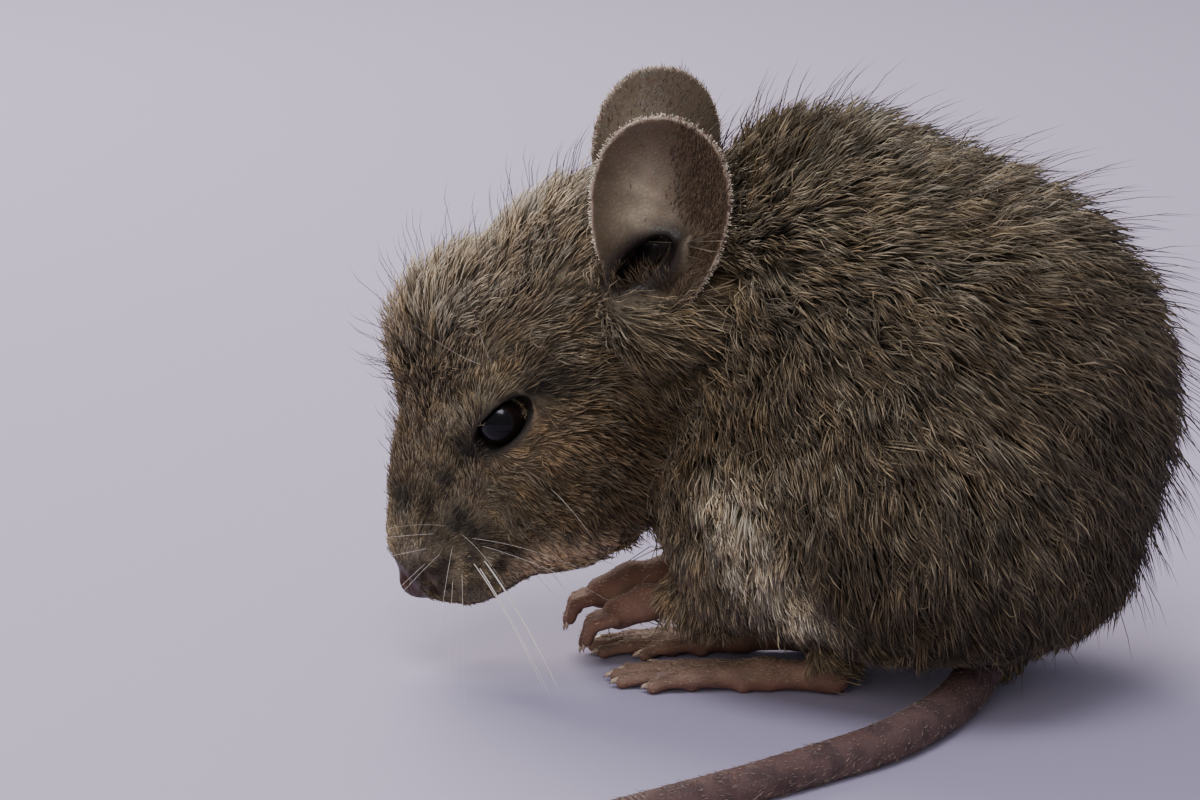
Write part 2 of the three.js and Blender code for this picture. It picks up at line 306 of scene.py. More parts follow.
def headForm(p):
    return meltAll([
        lump(p, (-11.8, 0, 24.4), (9.4, 8.2, 9.7)),          # skull
        lump(p, (-19.2, 0, 22.5), (7.3, 6.0, 6.8)),          # forehead
        lump(p, (-21.6, 0, 13.8), (4.9, 4.2, 7.8), 4),       # bridge of the nose
        lump(p, (-22.4, 0, 8.6), (3.6, 3.3, 3.5)),           # end of the muzzle
        pairOf(p, (-20.3, 1.9, 9.0), (3.0, 2.6, 3.4)),       # whisker pads
        pairOf(p, (-14.2, 3.9, 16.4), (7.1, 4.8, 7.6), 20),  # cheeks
        lump(p, (-15, 0, 11.6), (6.2, 4.5, 5.0), 15),        # lower jaw
    ], 3)


# the lie of the coat, read at any place from guides on the left side and their mirror images;
# each guide has its frame, place, way the hair lies, hair length, lift in degrees, depth of the coat, reach
guides = {
    "nose top": ("head", (-25.5, -0.8, 9.8), (-0.1, 0, 1), 0.6, 16, 0.2, 1.8),
    "bridge": ("head", (-26.2, -1, 14.5), (0.0, 0, 1), 1.3, 20, 0.6, 3.0),
    "brow": ("head", (-26.0, -1, 21.5), (0.25, 0, 1), 2.6, 34, 1.2, 3.0),
    "forehead": ("head", (-22.5, -2, 27.5), (0.8, 0, 0.7), 2.9, 34, 1.4, 3.5),
    "crown": ("head", (-17, -2, 31.2), (1, 0, 0.35), 2.9, 30, 1.4, 3.5),
    "between ears": ("head", (-10, -1.5, 34.3), (1, 0, 0.1), 3.2, 34, 1.8, 3.5),
    "side of nose": ("head", (-23.5, -3.3, 13.5), (0.35, 0, 0.85), 1.0, 18, 0.4, 2.2),
    "whisker pad": ("head", (-22.3, -3.4, 9.5), (0.8, -0.1, 0.25), 0.55, 14, 0.2, 1.8),
    "lip": ("head", (-20.6, -3.5, 6.3), (0.3, 0, -1), 0.5, 12, 0.18, 1.8),
    "chin": ("head", (-18, -1, 5.8), (0.95, 0, 0.25), 0.6, 10, 0.25, 1.8),
    "inner corner": ("head", (-21.5, -4.8, 17), (0.1, 0, 1), 0.9, 18, 0.35, 1.6),
    "upper lid": ("head", (-19.2, -6.0, 21.6), (0.55, 0, 0.8), 1.0, 20, 0.35, 1.5),
    "lower lid": ("head", (-17.6, -6.4, 16.4), (0.9, 0, -0.1), 0.9, 16, 0.3, 1.5),
    "cheek": ("head", (-15, -7.2, 13.5), (0.9, 0, -0.4), 1.7, 22, 0.9, 2.6),
    "jaw": ("head", (-15.5, -4, 8.2), (0.9, 0, -0.1), 1.0, 14, 0.5, 2.0),
    "temple": ("head", (-15.5, -7.0, 23.5), (0.95, 0, 0.35), 2.2, 26, 0.9, 2.6),
    "before ear": ("head", (-13.6, -6.6, 30.5), (0.5, 0, 0.9), 2.4, 28, 0.9, 2.2),
    "below ear": ("head", (-10, -8.5, 23.5), (0.95, -0.1, -0.25), 2.8, 28, 1.4, 2.6),
    "behind ear": ("head", (-5.5, -8.5, 31), (0.95, -0.1, -0.2), 3.6, 34, 1.8, 2.6),
    "throat": ("body", (-16, -5, 11), (0.75, -0.1, -0.55), 2.2, 20, 1.3, 3.0),
    "chest": ("body", (-12.5, -3, 7), (0.7, 0, -0.7), 3.0, 26, 1.7, 3.0),
    "side of neck": ("body", (-11.5, -9, 18), (0.85, -0.1, -0.5), 3.4, 28, 2.0, 3.0),
    "nape": ("body", (-9.5, -2, 36.5), (0.9, 0, 0.35), 4.2, 46, 2.8, 3.5),
    "withers": ("body", (-3.5, -3, 38.2), (1, 0, 0.1), 4.6, 42, 3.1, 4.5),
    "back": ("body", (5, -3, 36), (1, 0, -0.35), 4.7, 36, 3.0, 5.0),
    "loin": ("body", (12, -4, 31), (0.75, 0, -0.75), 4.8, 31, 2.8, 5.0),
    "rump": ("body", (17.5, -4, 21), (0.2, 0, -1), 4.7, 27, 2.6, 5.0),
    "rump foot": ("body", (16, -4, 11), (-0.3, 0, -1), 3.6, 24, 2.0, 4.5),
    "tail head": ("body", (9, -2, 3.5), (-0.3, 0, -0.8), 2.2, 20, 1.3, 3.5),
    "shoulder blade": ("body", (-7, -10, 28), (0.85, -0.1, -0.45), 4.2, 34, 2.6, 4.0),
    "shoulder": ("body", (-8, -10.5, 20), (0.6, 0, -0.8), 4.0, 30, 2.4, 4.0),
    "forearm top": ("body", (-9, -10, 11), (0.3, 0, -0.95), 3.2, 26, 1.8, 3.5),
    "upper flank": ("body", (4, -12.5, 27), (0.8, -0.1, -0.6), 4.8, 34, 2.9, 4.5),
    "flank": ("body", (2, -14.3, 18), (0.55, 0, -0.85), 4.6, 30, 2.6, 4.5),
    "thigh": ("body", (7, -13.2, 12), (0.25, 0, -1), 3.8, 24, 2.1, 4.0),
    "lower flank": ("body", (-2.5, -11.5, 8.5), (0.3, 0, -1), 3.0, 22, 1.7, 3.5),
    "belly": ("body", (0, -3, 2.6), (0.9, 0, -0.1), 2.0, 16, 1.2, 5.0),
    "foreleg": ("body", (-12.5, -5.5, 6.5), (-0.5, 0.1, -0.8), 1.8, 20, 0.7, 2.0),
}
guideColumns = {"way": [3, 4, 5], "length": [6], "lift": [7], "depth": [8]}    # after the guide's place
reachColumn = 9


def guideTable():
    rows = []
    for where, place, way, length, lift, depth, reach in guides.values():
        for side in (1, -1):
            p = np.array(place) * (1, side, 1)
            d = np.array(way, float) * (1, side, 1)
            if where == "head":
                p, d = headToBody(p), turned(d, body["headTurn"])
            rows.append([*p, *unit(d), length, lift, depth, reach])
    return np.array(rows)


guideRows = guideTable()


def readGuides(points, *names):
    # weighted mean of the guides near each point
    chosen = sum([guideColumns[name] for name in names], [])
    total = np.zeros(len(points))
    value = np.zeros((len(points), len(chosen)))
    for row in guideRows:
        away2 = ((points - row[:3]) ** 2).sum(1)
        w = np.exp(-away2 / (2 * row[reachColumn] ** 2)) + 1e-4 / (1 + away2)
        total += w
        value += w[:, None] * row[chosen]
    return value / total[:, None]


# the skin: one distance field for the flesh, cut to a mesh
skinSizes = {
    "low": (-39.8, -39.6, -0.4),    # mm, the field's corners
    "high": (19.6, 15.4, 41.4),
    "step": 0.22,                   # mm, the field's spacing
    "coarse": 3,                    # fine steps to one coarse step
    "near": 7,                      # mm from the outline, within which the coat's depth is read
    "soles": 0.03,                  # mm between the soles and the floor
    "keep": 0.56,                   # share of the faces kept after the mesh is cut
    "seamAngle": 66,                # degrees between faces where the unwrap is parted
}
low = np.array(skinSizes["low"])
step = skinSizes["step"]


def axisPoints(count, spacing):
    return [(low[i] + spacing * np.arange(count[i])).astype(np.float32) for i in range(3)]


def openGrid(axes):
    return [axes[0][:, None, None], axes[1][None, :, None], axes[2][None, None, :]]


def coarseFlesh():
    # the outline of the coat, drawn in by the coat's depth
    spacing = step * skinSizes["coarse"]
    count = np.ceil((np.array(skinSizes["high"]) - low) / spacing).astype(int) + 1
    grid = openGrid(axisPoints(count, spacing))
    outline = melt(melt(trunkForm(grid), neckForm(grid), 3), headForm(inHead(grid)), 3)
    near = np.abs(outline) < skinSizes["near"]
    places = np.stack(np.broadcast_arrays(*grid), -1)[near]
    depth = np.full(outline.shape, 2.0, np.float32)
    depth[near] = readGuides(places.astype(float), "depth")[:, 0]
    return (outline + depth).astype(np.float32)


def finer(field):
    # linear steps between the coarse values, one axis after another
    n = skinSizes["coarse"]
    for axis in range(3):
        a = np.moveaxis(field, axis, 0)
        t = (np.arange(n) / n).astype(np.float32).reshape(1, n, 1, 1)
        b = a[:-1, None] * (1 - t) + a[1:, None] * t
        b = b.reshape(-1, *a.shape[1:])
        field = np.moveaxis(np.concatenate([b, a[-1:]]), 0, axis)
    return np.ascontiguousarray(field, dtype=np.float32)


field = finer(coarseFlesh())
axes = axisPoints(field.shape, step)
print("flesh field", field.shape)


def shape(form, lowCorner, highCorner, softness, cut=False):
    # melts a form into the flesh, or hollows it out, inside a box
    first = [max(0, int((lowCorner[i] - low[i]) / step) - 1) for i in range(3)]
    last = [min(field.shape[i], int((highCorner[i] - low[i]) / step) + 3) for i in range(3)]
    window = tuple(slice(a, b) for a, b in zip(first, last))
    p = openGrid([axes[i][window[i]] for i in range(3)])
    other = form(p)
    now = field[window]
    field[window] = hollow(now, other, softness) if cut else melt(now, other, softness)


def shapeHead(form, centre, reach, softness, cut=False):
    # the same for a form in the head's frame
    c = headToBody(np.array(centre, float))
    shape(lambda p: form(inHead(p)), c - reach, c + reach, softness, cut)


def shapeBar(start, end, startRadius, endRadius, softness):
    start, end = np.array(start, float), np.array(end, float)
    reach = max(startRadius, endRadius) + softness + 0.6
    shape(lambda p: bar(p, start, end, startRadius, endRadius),
          np.minimum(start, end) - reach, np.maximum(start, end) + reach, softness)


# the head's details, in the head's frame with the left side at -Y
def onSide(p, side):
    return [p[0], p[1] * side, p[2]]     # side is 1 for the right; the form is written for the right


def mirrored(place, side):
    return (place[0], side * place[1], place[2])


lids = {
    "rim": 0.42,                    # mm that the lids swell round the eyeball
    "gap": 0.04,                    # mm between lid and eyeball
    "opening": (2.55, 2.2, 1.12),   # half sizes of the almond between the lids
    "before": 1.4,                  # how far outside the eye's centre the almond lies
    "slant": 45,                    # degrees, the outer corner above the inner one
    "corner": (1.5, 0.7, 0.55),     # half sizes of the dip at the inner corner
}
muzzle = {
    # the whisker pad's swollen rows: place of the first, step to the next, half sizes
    "rows": 3, "firstRow": (-21.6, 3.0, 10.4), "nextRow": (0.25, 0.35, -1.5), "rowSizes": (2.0, 0.95, 0.7),
    "lip": (-22.3, 1.6, 6.95), "lipSizes": (2.4, 1.6, 1.15),
    "mouth": [(-23.2, 0.1, 5.2), (-21.6, 2.2, 5.5), (-18.9, 3.9, 7.2)],    # the groove between lip and jaw
}
nose = {
    "pad": (-24.2, 0, 6.15), "padSizes": (1.5, 1.45, 1.3),
    # on each side: centre, half sizes, pitch, softness, whether it is cut
    "parts": [
        ((-24.9, 0.75, 6.35), (0.72, 0.6, 0.8), 0, 0.3, False),      # wing
        ((-25.5, 0.85, 6.1), (0.42, 0.24, 0.3), 30, 0.18, True),     # nostril
        ((-25.05, 1.28, 6.5), (0.42, 0.2, 0.16), 30, 0.15, True),    # the nostril's slit
    ],
    "groove": ((-25.75, 0, 6.7), (-23.9, 0, 4.9)),
    "leather": (-24.8, 0, 6.5), "leatherSizes": (1.8, 2.1, 2.0),     # where the skin is bare and damp
}


def lidForm(p):
    ball = lump(p, (eyeX, eyeY, eyeZ), [body["eyeRadius"] + lids["rim"]] * 3)
    almond = lump(p, (eyeX, eyeY + lids["before"], eyeZ), lids["opening"], -lids["slant"])
    return ball, almond


def faceDetails(side):
    def at(p):
        return onSide(p, side)
    eyeAt = (eyeX, side * eyeY, eyeZ)
    dip = (eyeX - 2.9, eyeY - 1.6, eyeZ - 2.9)
    nearDip = (eyeX - 2.2, side * (eyeY - 0.9), eyeZ - 1.7)
    shapeHead(lambda p: lidForm(at(p))[0], eyeAt, 4, 1.2)
    shapeHead(lambda p: lump(at(p), dip, lids["corner"], 50), nearDip, 4, 0.5, True)
    shapeHead(lambda p: lidForm(at(p))[1], eyeAt, 5, 0.35, True)
    shapeHead(lambda p: lump(p, eyeAt, [body["eyeRadius"] + lids["gap"]] * 3), eyeAt, 4, 0.1, True)
    for row in range(muzzle["rows"]):
        place = mirrored(np.array(muzzle["firstRow"]) + row * np.array(muzzle["nextRow"]), side)
        shapeHead(lambda p: lump(p, place, muzzle["rowSizes"], -8), place, 4, 0.6)
    lip = muzzle["lip"]
    shapeHead(lambda p: lump(at(p), lip, muzzle["lipSizes"]), mirrored(lip, side), 4.5, 0.7)
    for start, end in zip(muzzle["mouth"], muzzle["mouth"][1:]):
        start, end = [np.array(mirrored(q, side)) for q in (start, end)]
        shapeHead(lambda p: bar(p, start, end, 0.2, 0.16), (start + end) / 2, 3.5, 0.35, True)


def noseDetails():
    shapeHead(lambda p: lump(p, nose["pad"], nose["padSizes"]), nose["pad"], 4, 0.6)
    for side in (-1, 1):
        for place, sizes, pitch, softness, cut in nose["parts"]:
            centre = mirrored(place, side)
            shapeHead(lambda p: lump(p, centre, sizes, pitch), centre, 3, softness, cut)
    top, foot = [np.array(q) for q in nose["groove"]]
    shapeHead(lambda p: bar(p, top, foot, 0.1, 0.16), (top + foot) / 2, 3.5, 0.3, True)


ear = {
    "centre": (-8.5, 9.5, 32.5),
    "halfWidth": 4.4,
    "halfHeight": 6.9,
    "thickness": 0.42,
    "cupDepth": 2.4,
    "taper": 0.22,     # share by which it is wider above its middle
    "lean": 7, "splay": 3, "forward": -15,    # degrees
    # lumps, each with centre, half sizes and pitch: the root in the head's frame, the rest in the ear's own
    "root": ((-8.6, 7.4, 27.6), (3.6, 2.6, 4.0)),
    "canal": ((-0.4, 0.2, -3.6), (2.6, 2.3, 3.3)),
    "opening": ((-1.1, 1.9, -3.3), (2.3, 2.2, 0.95), -48),
    "fold": ((1.3, 1.2, -2.8), (0.5, 0.6, 2.2), 20),
    "hollow": ((-0.9, 1.6, -3.4), (3.1, 3.8, 1.7), -48),    # the place that is painted dark, as shade, and that no tuft crosses
}


def earRotation():
    lean, splay, forward = [math.radians(ear[k]) for k in ("lean", "splay", "forward")]
    aboutY = np.array([
        [math.cos(lean), 0, math.sin(lean)], [0, 1, 0], [-math.sin(lean), 0, math.cos(lean)]])
    aboutX = np.array([
        [1, 0, 0], [0, math.cos(splay), -math.sin(splay)], [0, math.sin(splay), math.cos(splay)]])
    aboutZ = np.array([
        [math.cos(forward), -math.sin(forward), 0], [math.sin(forward), math.cos(forward), 0], [0, 0, 1]])
    return aboutZ @ aboutX @ aboutY


earTurn = earRotation()


def inEar(p, side):
    # local places: x back, y into the head, z up; p is in the head's frame
    q = [p[0] - ear["centre"][0], -side * p[1] + ear["centre"][1], p[2] - ear["centre"][2]]
    return [sum(earTurn[j, i] * q[j] for j in range(3)) for i in range(3)]


def earLeaf(q):
    # share of the way from the middle to the rim, height of the leaf's middle, its slope, way past the rim
    zShare = q[2] / ear["halfHeight"]
    width = ear["halfWidth"] * (1 + ear["taper"] * np.clip(zShare, -1, 1))
    xShare = q[0] / width
    out = np.sqrt(xShare ** 2 + zShare ** 2)
    inside = np.minimum(out, 1)
    cup = ear["cupDepth"] * (1 - inside ** 2) * (1 - 0.35 * zShare)
    slope = 2 * ear["cupDepth"] * inside * (1 - 0.35 * zShare) / (0.5 * (width + ear["halfHeight"]))
    past = (out - 1) * np.sqrt(q[0] ** 2 + q[2] ** 2) / np.maximum(out, 0.05)
    return out, cup, slope, past


def earForm(q):
    out, cup, slope, past = earLeaf(q)
    away = (q[1] - cup) / np.sqrt(1 + slope ** 2)
    return np.sqrt(np.maximum(past + 0.15, 0) ** 2 + away ** 2) - ear["thickness"] / 2


def hollowOfEar(q):
    return lump(q, *ear["hollow"])


def buildEar(side):
    # side is -1 for the left ear
    root = mirrored(ear["root"][0], side)
    shapeHead(lambda p: lump(onSide(p, side), *ear["root"]), root, 6, 1.5)
    shapeHead(lambda p: lump(inEar(p, side), *ear["canal"]), root, 8, 0.6, True)
    shapeHead(lambda p: earForm(inEar(p, side)), mirrored(ear["centre"], side), 9.5, 0.55)
    shapeHead(lambda p: lump(inEar(p, side), *ear["opening"]), root, 8, 0.35, True)
    shapeHead(lambda p: lump(inEar(p, side), *ear["fold"]), root, 8, 0.6)


# the limbs and the tail, a little inside the solids
hindFoot = {
    "heel": {-1: (-4.4, -4.7, 0.0), 1: (-7.2, 3.9, 0.0)},
    "turn": {-1: 0.0, 1: 10.0},    # degrees
    # start, end, radius at each, in the heel's frame: toes to -X, outer side to -Y
    "bars": [
        [(2.6, -2.2, 8.0), (1.2, -1.0, 4.6), 1.7, 1.3],
        [(1.2, -1.0, 4.6), (0.3, -0.2, 1.7), 1.3, 1.05],
        [(0.3, -0.1, 1.5), (0.9, 0.0, 1.15), 1.1, 0.95],
        [(0.7, 0.0, 1.2), (-4.0, 0.0, 1.15), 0.95, 1.0],
        [(-3.6, -0.35, 1.1), (-9.4, -0.75, 0.85), 0.85, 0.72],
        [(-3.6, 0.35, 1.1), (-9.4, 0.8, 0.85), 0.85, 0.72],
    ],
    "bareFrom": 2,    # the bars from this one on have bare skin
    # x, y, length, spread
    "toes": [(-8.2, 1.2, 2.6, 0.8), (-10.2, 0.95, 3.4, 0.4), (-10.5, 0.05, 3.7, 0.0),
             (-10.2, -0.85, 3.4, -0.4), (-8.4, -1.2, 3.0, -0.8)],
    "toeRadii": [0.56, 0.5, 0.38, 0.42],
    "pads": [(-8.6, 0.9, 0.42), (-9.0, -0.1, 0.4), (-8.6, -1.0, 0.42), (-6.6, 0.9, 0.42), (-5.2, -0.7, 0.42)],
}
foreleg = {
    "wrist": {-1: (-14.6, -2.1, 5.3), 1: (-16.4, 1.9, 5.6)},
    "elbow": {-1: (-9.6, -6.2, 8.6), 1: (-10.6, 6.2, 8.6)},
    "palm": [(0.6, 0.4, 0.2), (-1.9, 0.0, -0.4), (-3.9, -0.2, -1.35)],    # from the wrist
    "palmRadii": [1.0, 1.15, 1.1],
    "thumb": [(-2, -0.9, -0.8), (-3.1, -1.4, -1.6)],
    "fingers": [(1.2, 2.4), (0.5, 2.9), (-0.35, 2.9), (-1.1, 2.3)],       # y, length
}
tail = {
    "route": [
        (8.2, 3.8, 7.6), (6.3, 0.2, 2.8), (5.2, -7, 1.35), (1.9, -16, 1.25), (-3.4, -22.9, 1.15),
        (-9.6, -29.4, 1.05), (-16, -34.9, 0.95), (-23.6, -37.6, 0.85), (-31.4, -38, 0.7),
        (-38.6, -36.9, 0.48)],
    "radius": [1.8, 1.65, 1.5, 1.4, 1.3, 1.2, 1.05, 0.9, 0.72, 0.5],
    "underHair": 0.97,           # share of that radius that the skin has
    "steps": 8,                  # pieces from one point of the route to the next
    "melted": (9, 1.2, 0.05),    # so many pieces melt softly into the rump, the softness there and after
}


def fromHeel(side, q):
    q = np.array(q, float) * (1, -side, 1)
    return turned(q, hindFoot["turn"][side]) + hindFoot["heel"][side]


def toeJoints(toe):
    # root, knuckle, last joint and tip of one hind toe
    x, y, length, spread = toe
    return [(x + 1.2, y * 0.85, 0.95), (x - 0.3 * length, y + 0.3 * spread, 0.82),
            (x - 0.66 * length, y + 0.7 * spread, 0.62), (x - length + 0.45, y + spread, 0.5)]


def buildFoot(side):
    for start, end, r0, r1 in hindFoot["bars"]:
        shapeBar(fromHeel(side, start), fromHeel(side, end), r0, r1, 0.7)
    for toe in hindFoot["toes"]:
        joints = [fromHeel(side, q) for q in toeJoints(toe)]
        radii = hindFoot["toeRadii"]
        for k in range(3):
            shapeBar(joints[k], joints[k + 1], radii[k], radii[k + 1], 0.18)
        pad = joints[3] - (0, 0, 0.08)
        shapeBar(pad, pad + (0.05, 0, 0), 0.46, 0.44, 0.15)
    for pad in hindFoot["pads"]:
        q = fromHeel(side, pad)
        shapeBar(q, q + (0.1, 0, 0), 0.5, 0.5, 0.3)


def fingerPoints(side, finger):
    # root, knuckle and tip of one finger
    y, length = finger
    q = np.array([(-3.9, y * 0.8, -1.45), (-4.3 - 0.5 * length, y, -1.95),
                  (-4.3 - 0.66 * length, y, -1.7 - 0.58 * length)])
    return q * (1, -side, 1) + np.array(foreleg["wrist"][side])


def buildForeleg(side):
    wrist, elbow = np.array(foreleg["wrist"][side]), np.array(foreleg["elbow"][side])
    middle = wrist + (2.2, side * 1.6, 0.9)
    shapeBar(elbow, middle, 2.1, 1.45, 1.2)
    shapeBar(middle, wrist, 1.45, 1.0, 1.0)
    palm = [mirrored(q, side) + wrist for q in foreleg["palm"]]
    radii = foreleg["palmRadii"]
    for k in range(2):
        shapeBar(palm[k], palm[k + 1], radii[k], radii[k + 1], 0.6)
    thumb = [mirrored(q, side) + wrist for q in foreleg["thumb"]]
    shapeBar(thumb[0], thumb[1], 0.42, 0.34, 0.3)
    for finger in foreleg["fingers"]:
        root, knuckle, tip = fingerPoints(side, finger)
        shapeBar(root, knuckle, 0.5, 0.46, 0.2)
        shapeBar(knuckle, tip, 0.43, 0.38, 0.12)


def smoothRoute(points, radii, perLeg):
    # a curve through the points, and the radius along it
    ends = np.vstack([2 * points[0] - points[1], points, 2 * points[-1] - points[-2]])
    route, girth = [], []
    for k in range(len(points) - 1):
        a, b, c, d = ends[k:k + 4]
        for t in np.arange(perLeg) / perLeg:
            route.append(0.5 * (2 * b + (c - a) * t + (2 * a - 5 * b + 4 * c - d) * t ** 2
                                + (3 * b - a - 3 * c + d) * t ** 3))
            girth.append(radii[k] + (radii[k + 1] - radii[k]) * t)
    return np.array(route + [points[-1]]), np.array(girth + [radii[-1]])


tailPath, tailGirth = smoothRoute(np.array(tail["route"]), tail["radius"], tail["steps"])
tailAlong = np.concatenate([[0], np.cumsum(np.linalg.norm(np.diff(tailPath, axis=0), axis=1))])


def buildTail():
    pieces, soft, crisp = tail["melted"]
    girth = tail["underHair"] * tailGirth
    for k in range(len(tailPath) - 1):
        shapeBar(tailPath[k], tailPath[k + 1], girth[k], girth[k + 1], soft if k < pieces else crisp)


for side in (-1, 1):
    faceDetails(side)
noseDetails()
for side in (-1, 1):
    buildEar(side)
    buildForeleg(side)
    buildFoot(side)
buildTail()
aboveSoles = axes[2][None, None, :] - skinSizes["soles"]
field = hollow(field, aboveSoles, 0.08)
print("flesh shaped")


def skinMesh():
    band = 3 * step
    grid = openvdb.FloatGrid(band)
    grid.copyFromArray(np.clip(field, -band, band).astype(np.float32))
    points, triangles, quads = grid.convertToPolygons(0.0, 0.0)
    mesh = bpy.data.meshes.new("skin")
    mesh.from_pydata(toScene(low + points * step).tolist(), [], quads.tolist() + triangles.tolist())
    piece = intoScene("skin", mesh)
    bpy.context.view_layer.objects.active = piece
    piece.select_set(True)
    # fewer faces where it is flat, then an unwrap of its own shape
    piece.modifiers.new("fewer", "DECIMATE").ratio = skinSizes["keep"]
    bpy.ops.object.modifier_apply(modifier="fewer")
    mesh.uv_layers.new(name="OFBake")
    bpy.ops.object.mode_set(mode="EDIT")
    bpy.ops.mesh.select_all(action="SELECT")
    bpy.ops.uv.smart_project(angle_limit=math.radians(skinSizes["seamAngle"]), island_margin=0.003)
    bpy.ops.object.mode_set(mode="OBJECT")
    mesh.shade_smooth()
    return piece


skin = skinMesh()
skinData = skin.data
skinPoints = toBody(readArray(skinData.vertices, "co", 3))
skinNormals = unit(readArray(skinData.vertices, "normal", 3))
skinData.calc_loop_triangles()
skinFaces = readArray(skinData.loop_triangles, "vertices", 3, np.int32)
faceLoops = readArray(skinData.loop_triangles, "loops", 3, np.int32)
skinMap = readArray(skinData.uv_layers["OFBake"].data, "uv", 2)
print("skin", len(skinPoints), "points", len(skinFaces), "faces")


# what each place of the skin is, from 0 to 1 for ear, tail, hind foot, paw, nose and the rims of the lids
def tailPlace(points):
    # distance along the tail, how far outside its skin, and the way to its tip
    tree = kdtree.KDTree(len(tailPath))
    for k, q in enumerate(tailPath):
        tree.insert(q, k)
    tree.balance()
    found = [tree.find(q)[1:] for q in points]
    nearest = np.array([k for k, _ in found])
    ahead = unit(np.gradient(tailPath, axis=0))[nearest]
    extra = ((points - tailPath[nearest]) * ahead).sum(1)
    return tailAlong[nearest] + extra, np.array([d for _, d in found]) - tailGirth[nearest], ahead


def nearBars(points, bars, reach):
    away = np.full(len(points), 99.0)
    for start, end, r0, r1 in bars:
        away = np.minimum(away, bar(columns(points), np.array(start), np.array(end), r0, r1))
    return 1 - smoothStep(0.35 * reach, reach, away)


def footRegion(points, side):
    bare = hindFoot["bars"][hindFoot["bareFrom"]:]
    bars = [(fromHeel(side, a), fromHeel(side, b), r0, r1) for a, b, r0, r1 in bare]
    for toe in hindFoot["toes"]:
        joints = [fromHeel(side, q) for q in toeJoints(toe)]
        bars += [(joints[k], joints[k + 1], 0.5, 0.45) for k in range(3)]
    return nearBars(points, bars, 0.5)


def pawRegion(points, side):
    start, middle, end = [mirrored(q, side) + np.array(foreleg["wrist"][side])
                          for q in ((0.2, 0.2, 0.1), (-1.9, 0, -0.4), (-3.9, -0.2, -1.35))]
    bars = [(start, middle, 1.0, 1.0), (middle, end, 1.0, 1.0)]
    for finger in foreleg["fingers"]:
        root, knuckle, tip = fingerPoints(side, finger)
        bars += [(root, knuckle, 0.42, 0.4), (knuckle, tip, 0.36, 0.34)]
    return nearBars(points, bars, 0.6)


def readPlaces(points):
    points = np.asarray(points, float)
    count = len(points)
    head = inHead(columns(points))
    found = {
        "ear": np.zeros(count), "earInside": np.zeros(count),
        "earOut": np.full(count, 9.0), "earHole": np.full(count, 9.0), "inEar": np.full((count, 3), 99.0),
        "foot": np.zeros(count), "paw": np.zeros(count)}
    lidAway = np.full(count, 9.0)
    for side in (-1, 1):
        q = inEar(head, side)
        out, cup, _, _ = earLeaf(q)
        onLeaf = 1 - smoothStep(0.3, 0.9, np.abs(earForm(q)))
        behind = smoothStep(-0.2, 0.2, q[1] - cup)
        onLeaf = onLeaf * smoothStep(-5.6 + 1.2 * behind, -4.6 + 1.6 * behind, q[2])
        hole = hollowOfEar(q)
        within = (1 - smoothStep(0.1, 0.5, hole)) * smoothStep(-5.9, -4.7, q[2])
        weight = np.maximum(onLeaf, within * (1 - behind * onLeaf))
        here = weight > 0.05
        found["ear"] = np.maximum(found["ear"], weight)
        found["earInside"] = np.where(here, np.where(q[1] < cup, 1.0, 0.0), found["earInside"])
        found["earOut"] = np.where(here, np.minimum(found["earOut"], out), found["earOut"])
        found["earHole"] = np.minimum(found["earHole"], hole)
        found["inEar"] = np.where((side * points[:, 1] > 0)[:, None], np.stack(q, 1), found["inEar"])
        opening = lidForm(onSide(head, side))[1]
        fromEye = np.sqrt(sum((head[i] - (eyeX, side * eyeY, eyeZ)[i]) ** 2 for i in range(3)))
        lidAway = np.minimum(lidAway, np.where(fromEye < body["eyeRadius"] + 1, opening, 9.0))
        found["foot"] = np.maximum(found["foot"], footRegion(points, side))
        found["paw"] = np.maximum(found["paw"], pawRegion(points, side))
    found["lid"] = 1 - smoothStep(0.06, 0.3, lidAway)
    found["lidShade"] = 1 - smoothStep(0.25, 0.75, lidAway)
    centre, sizes = nose["leather"], nose["leatherSizes"]
    fromNose = np.sqrt(sum(((head[i] - centre[i]) / sizes[i]) ** 2 for i in range(3)))
    found["nose"] = 1 - smoothStep(0.85, 1.15, fromNose)
    found["along"], outside, _ = tailPlace(points)
    found["tail"] = smoothStep(5.0, 9.0, found["along"]) * (1 - smoothStep(0.3, 1.2, outside))
    return found


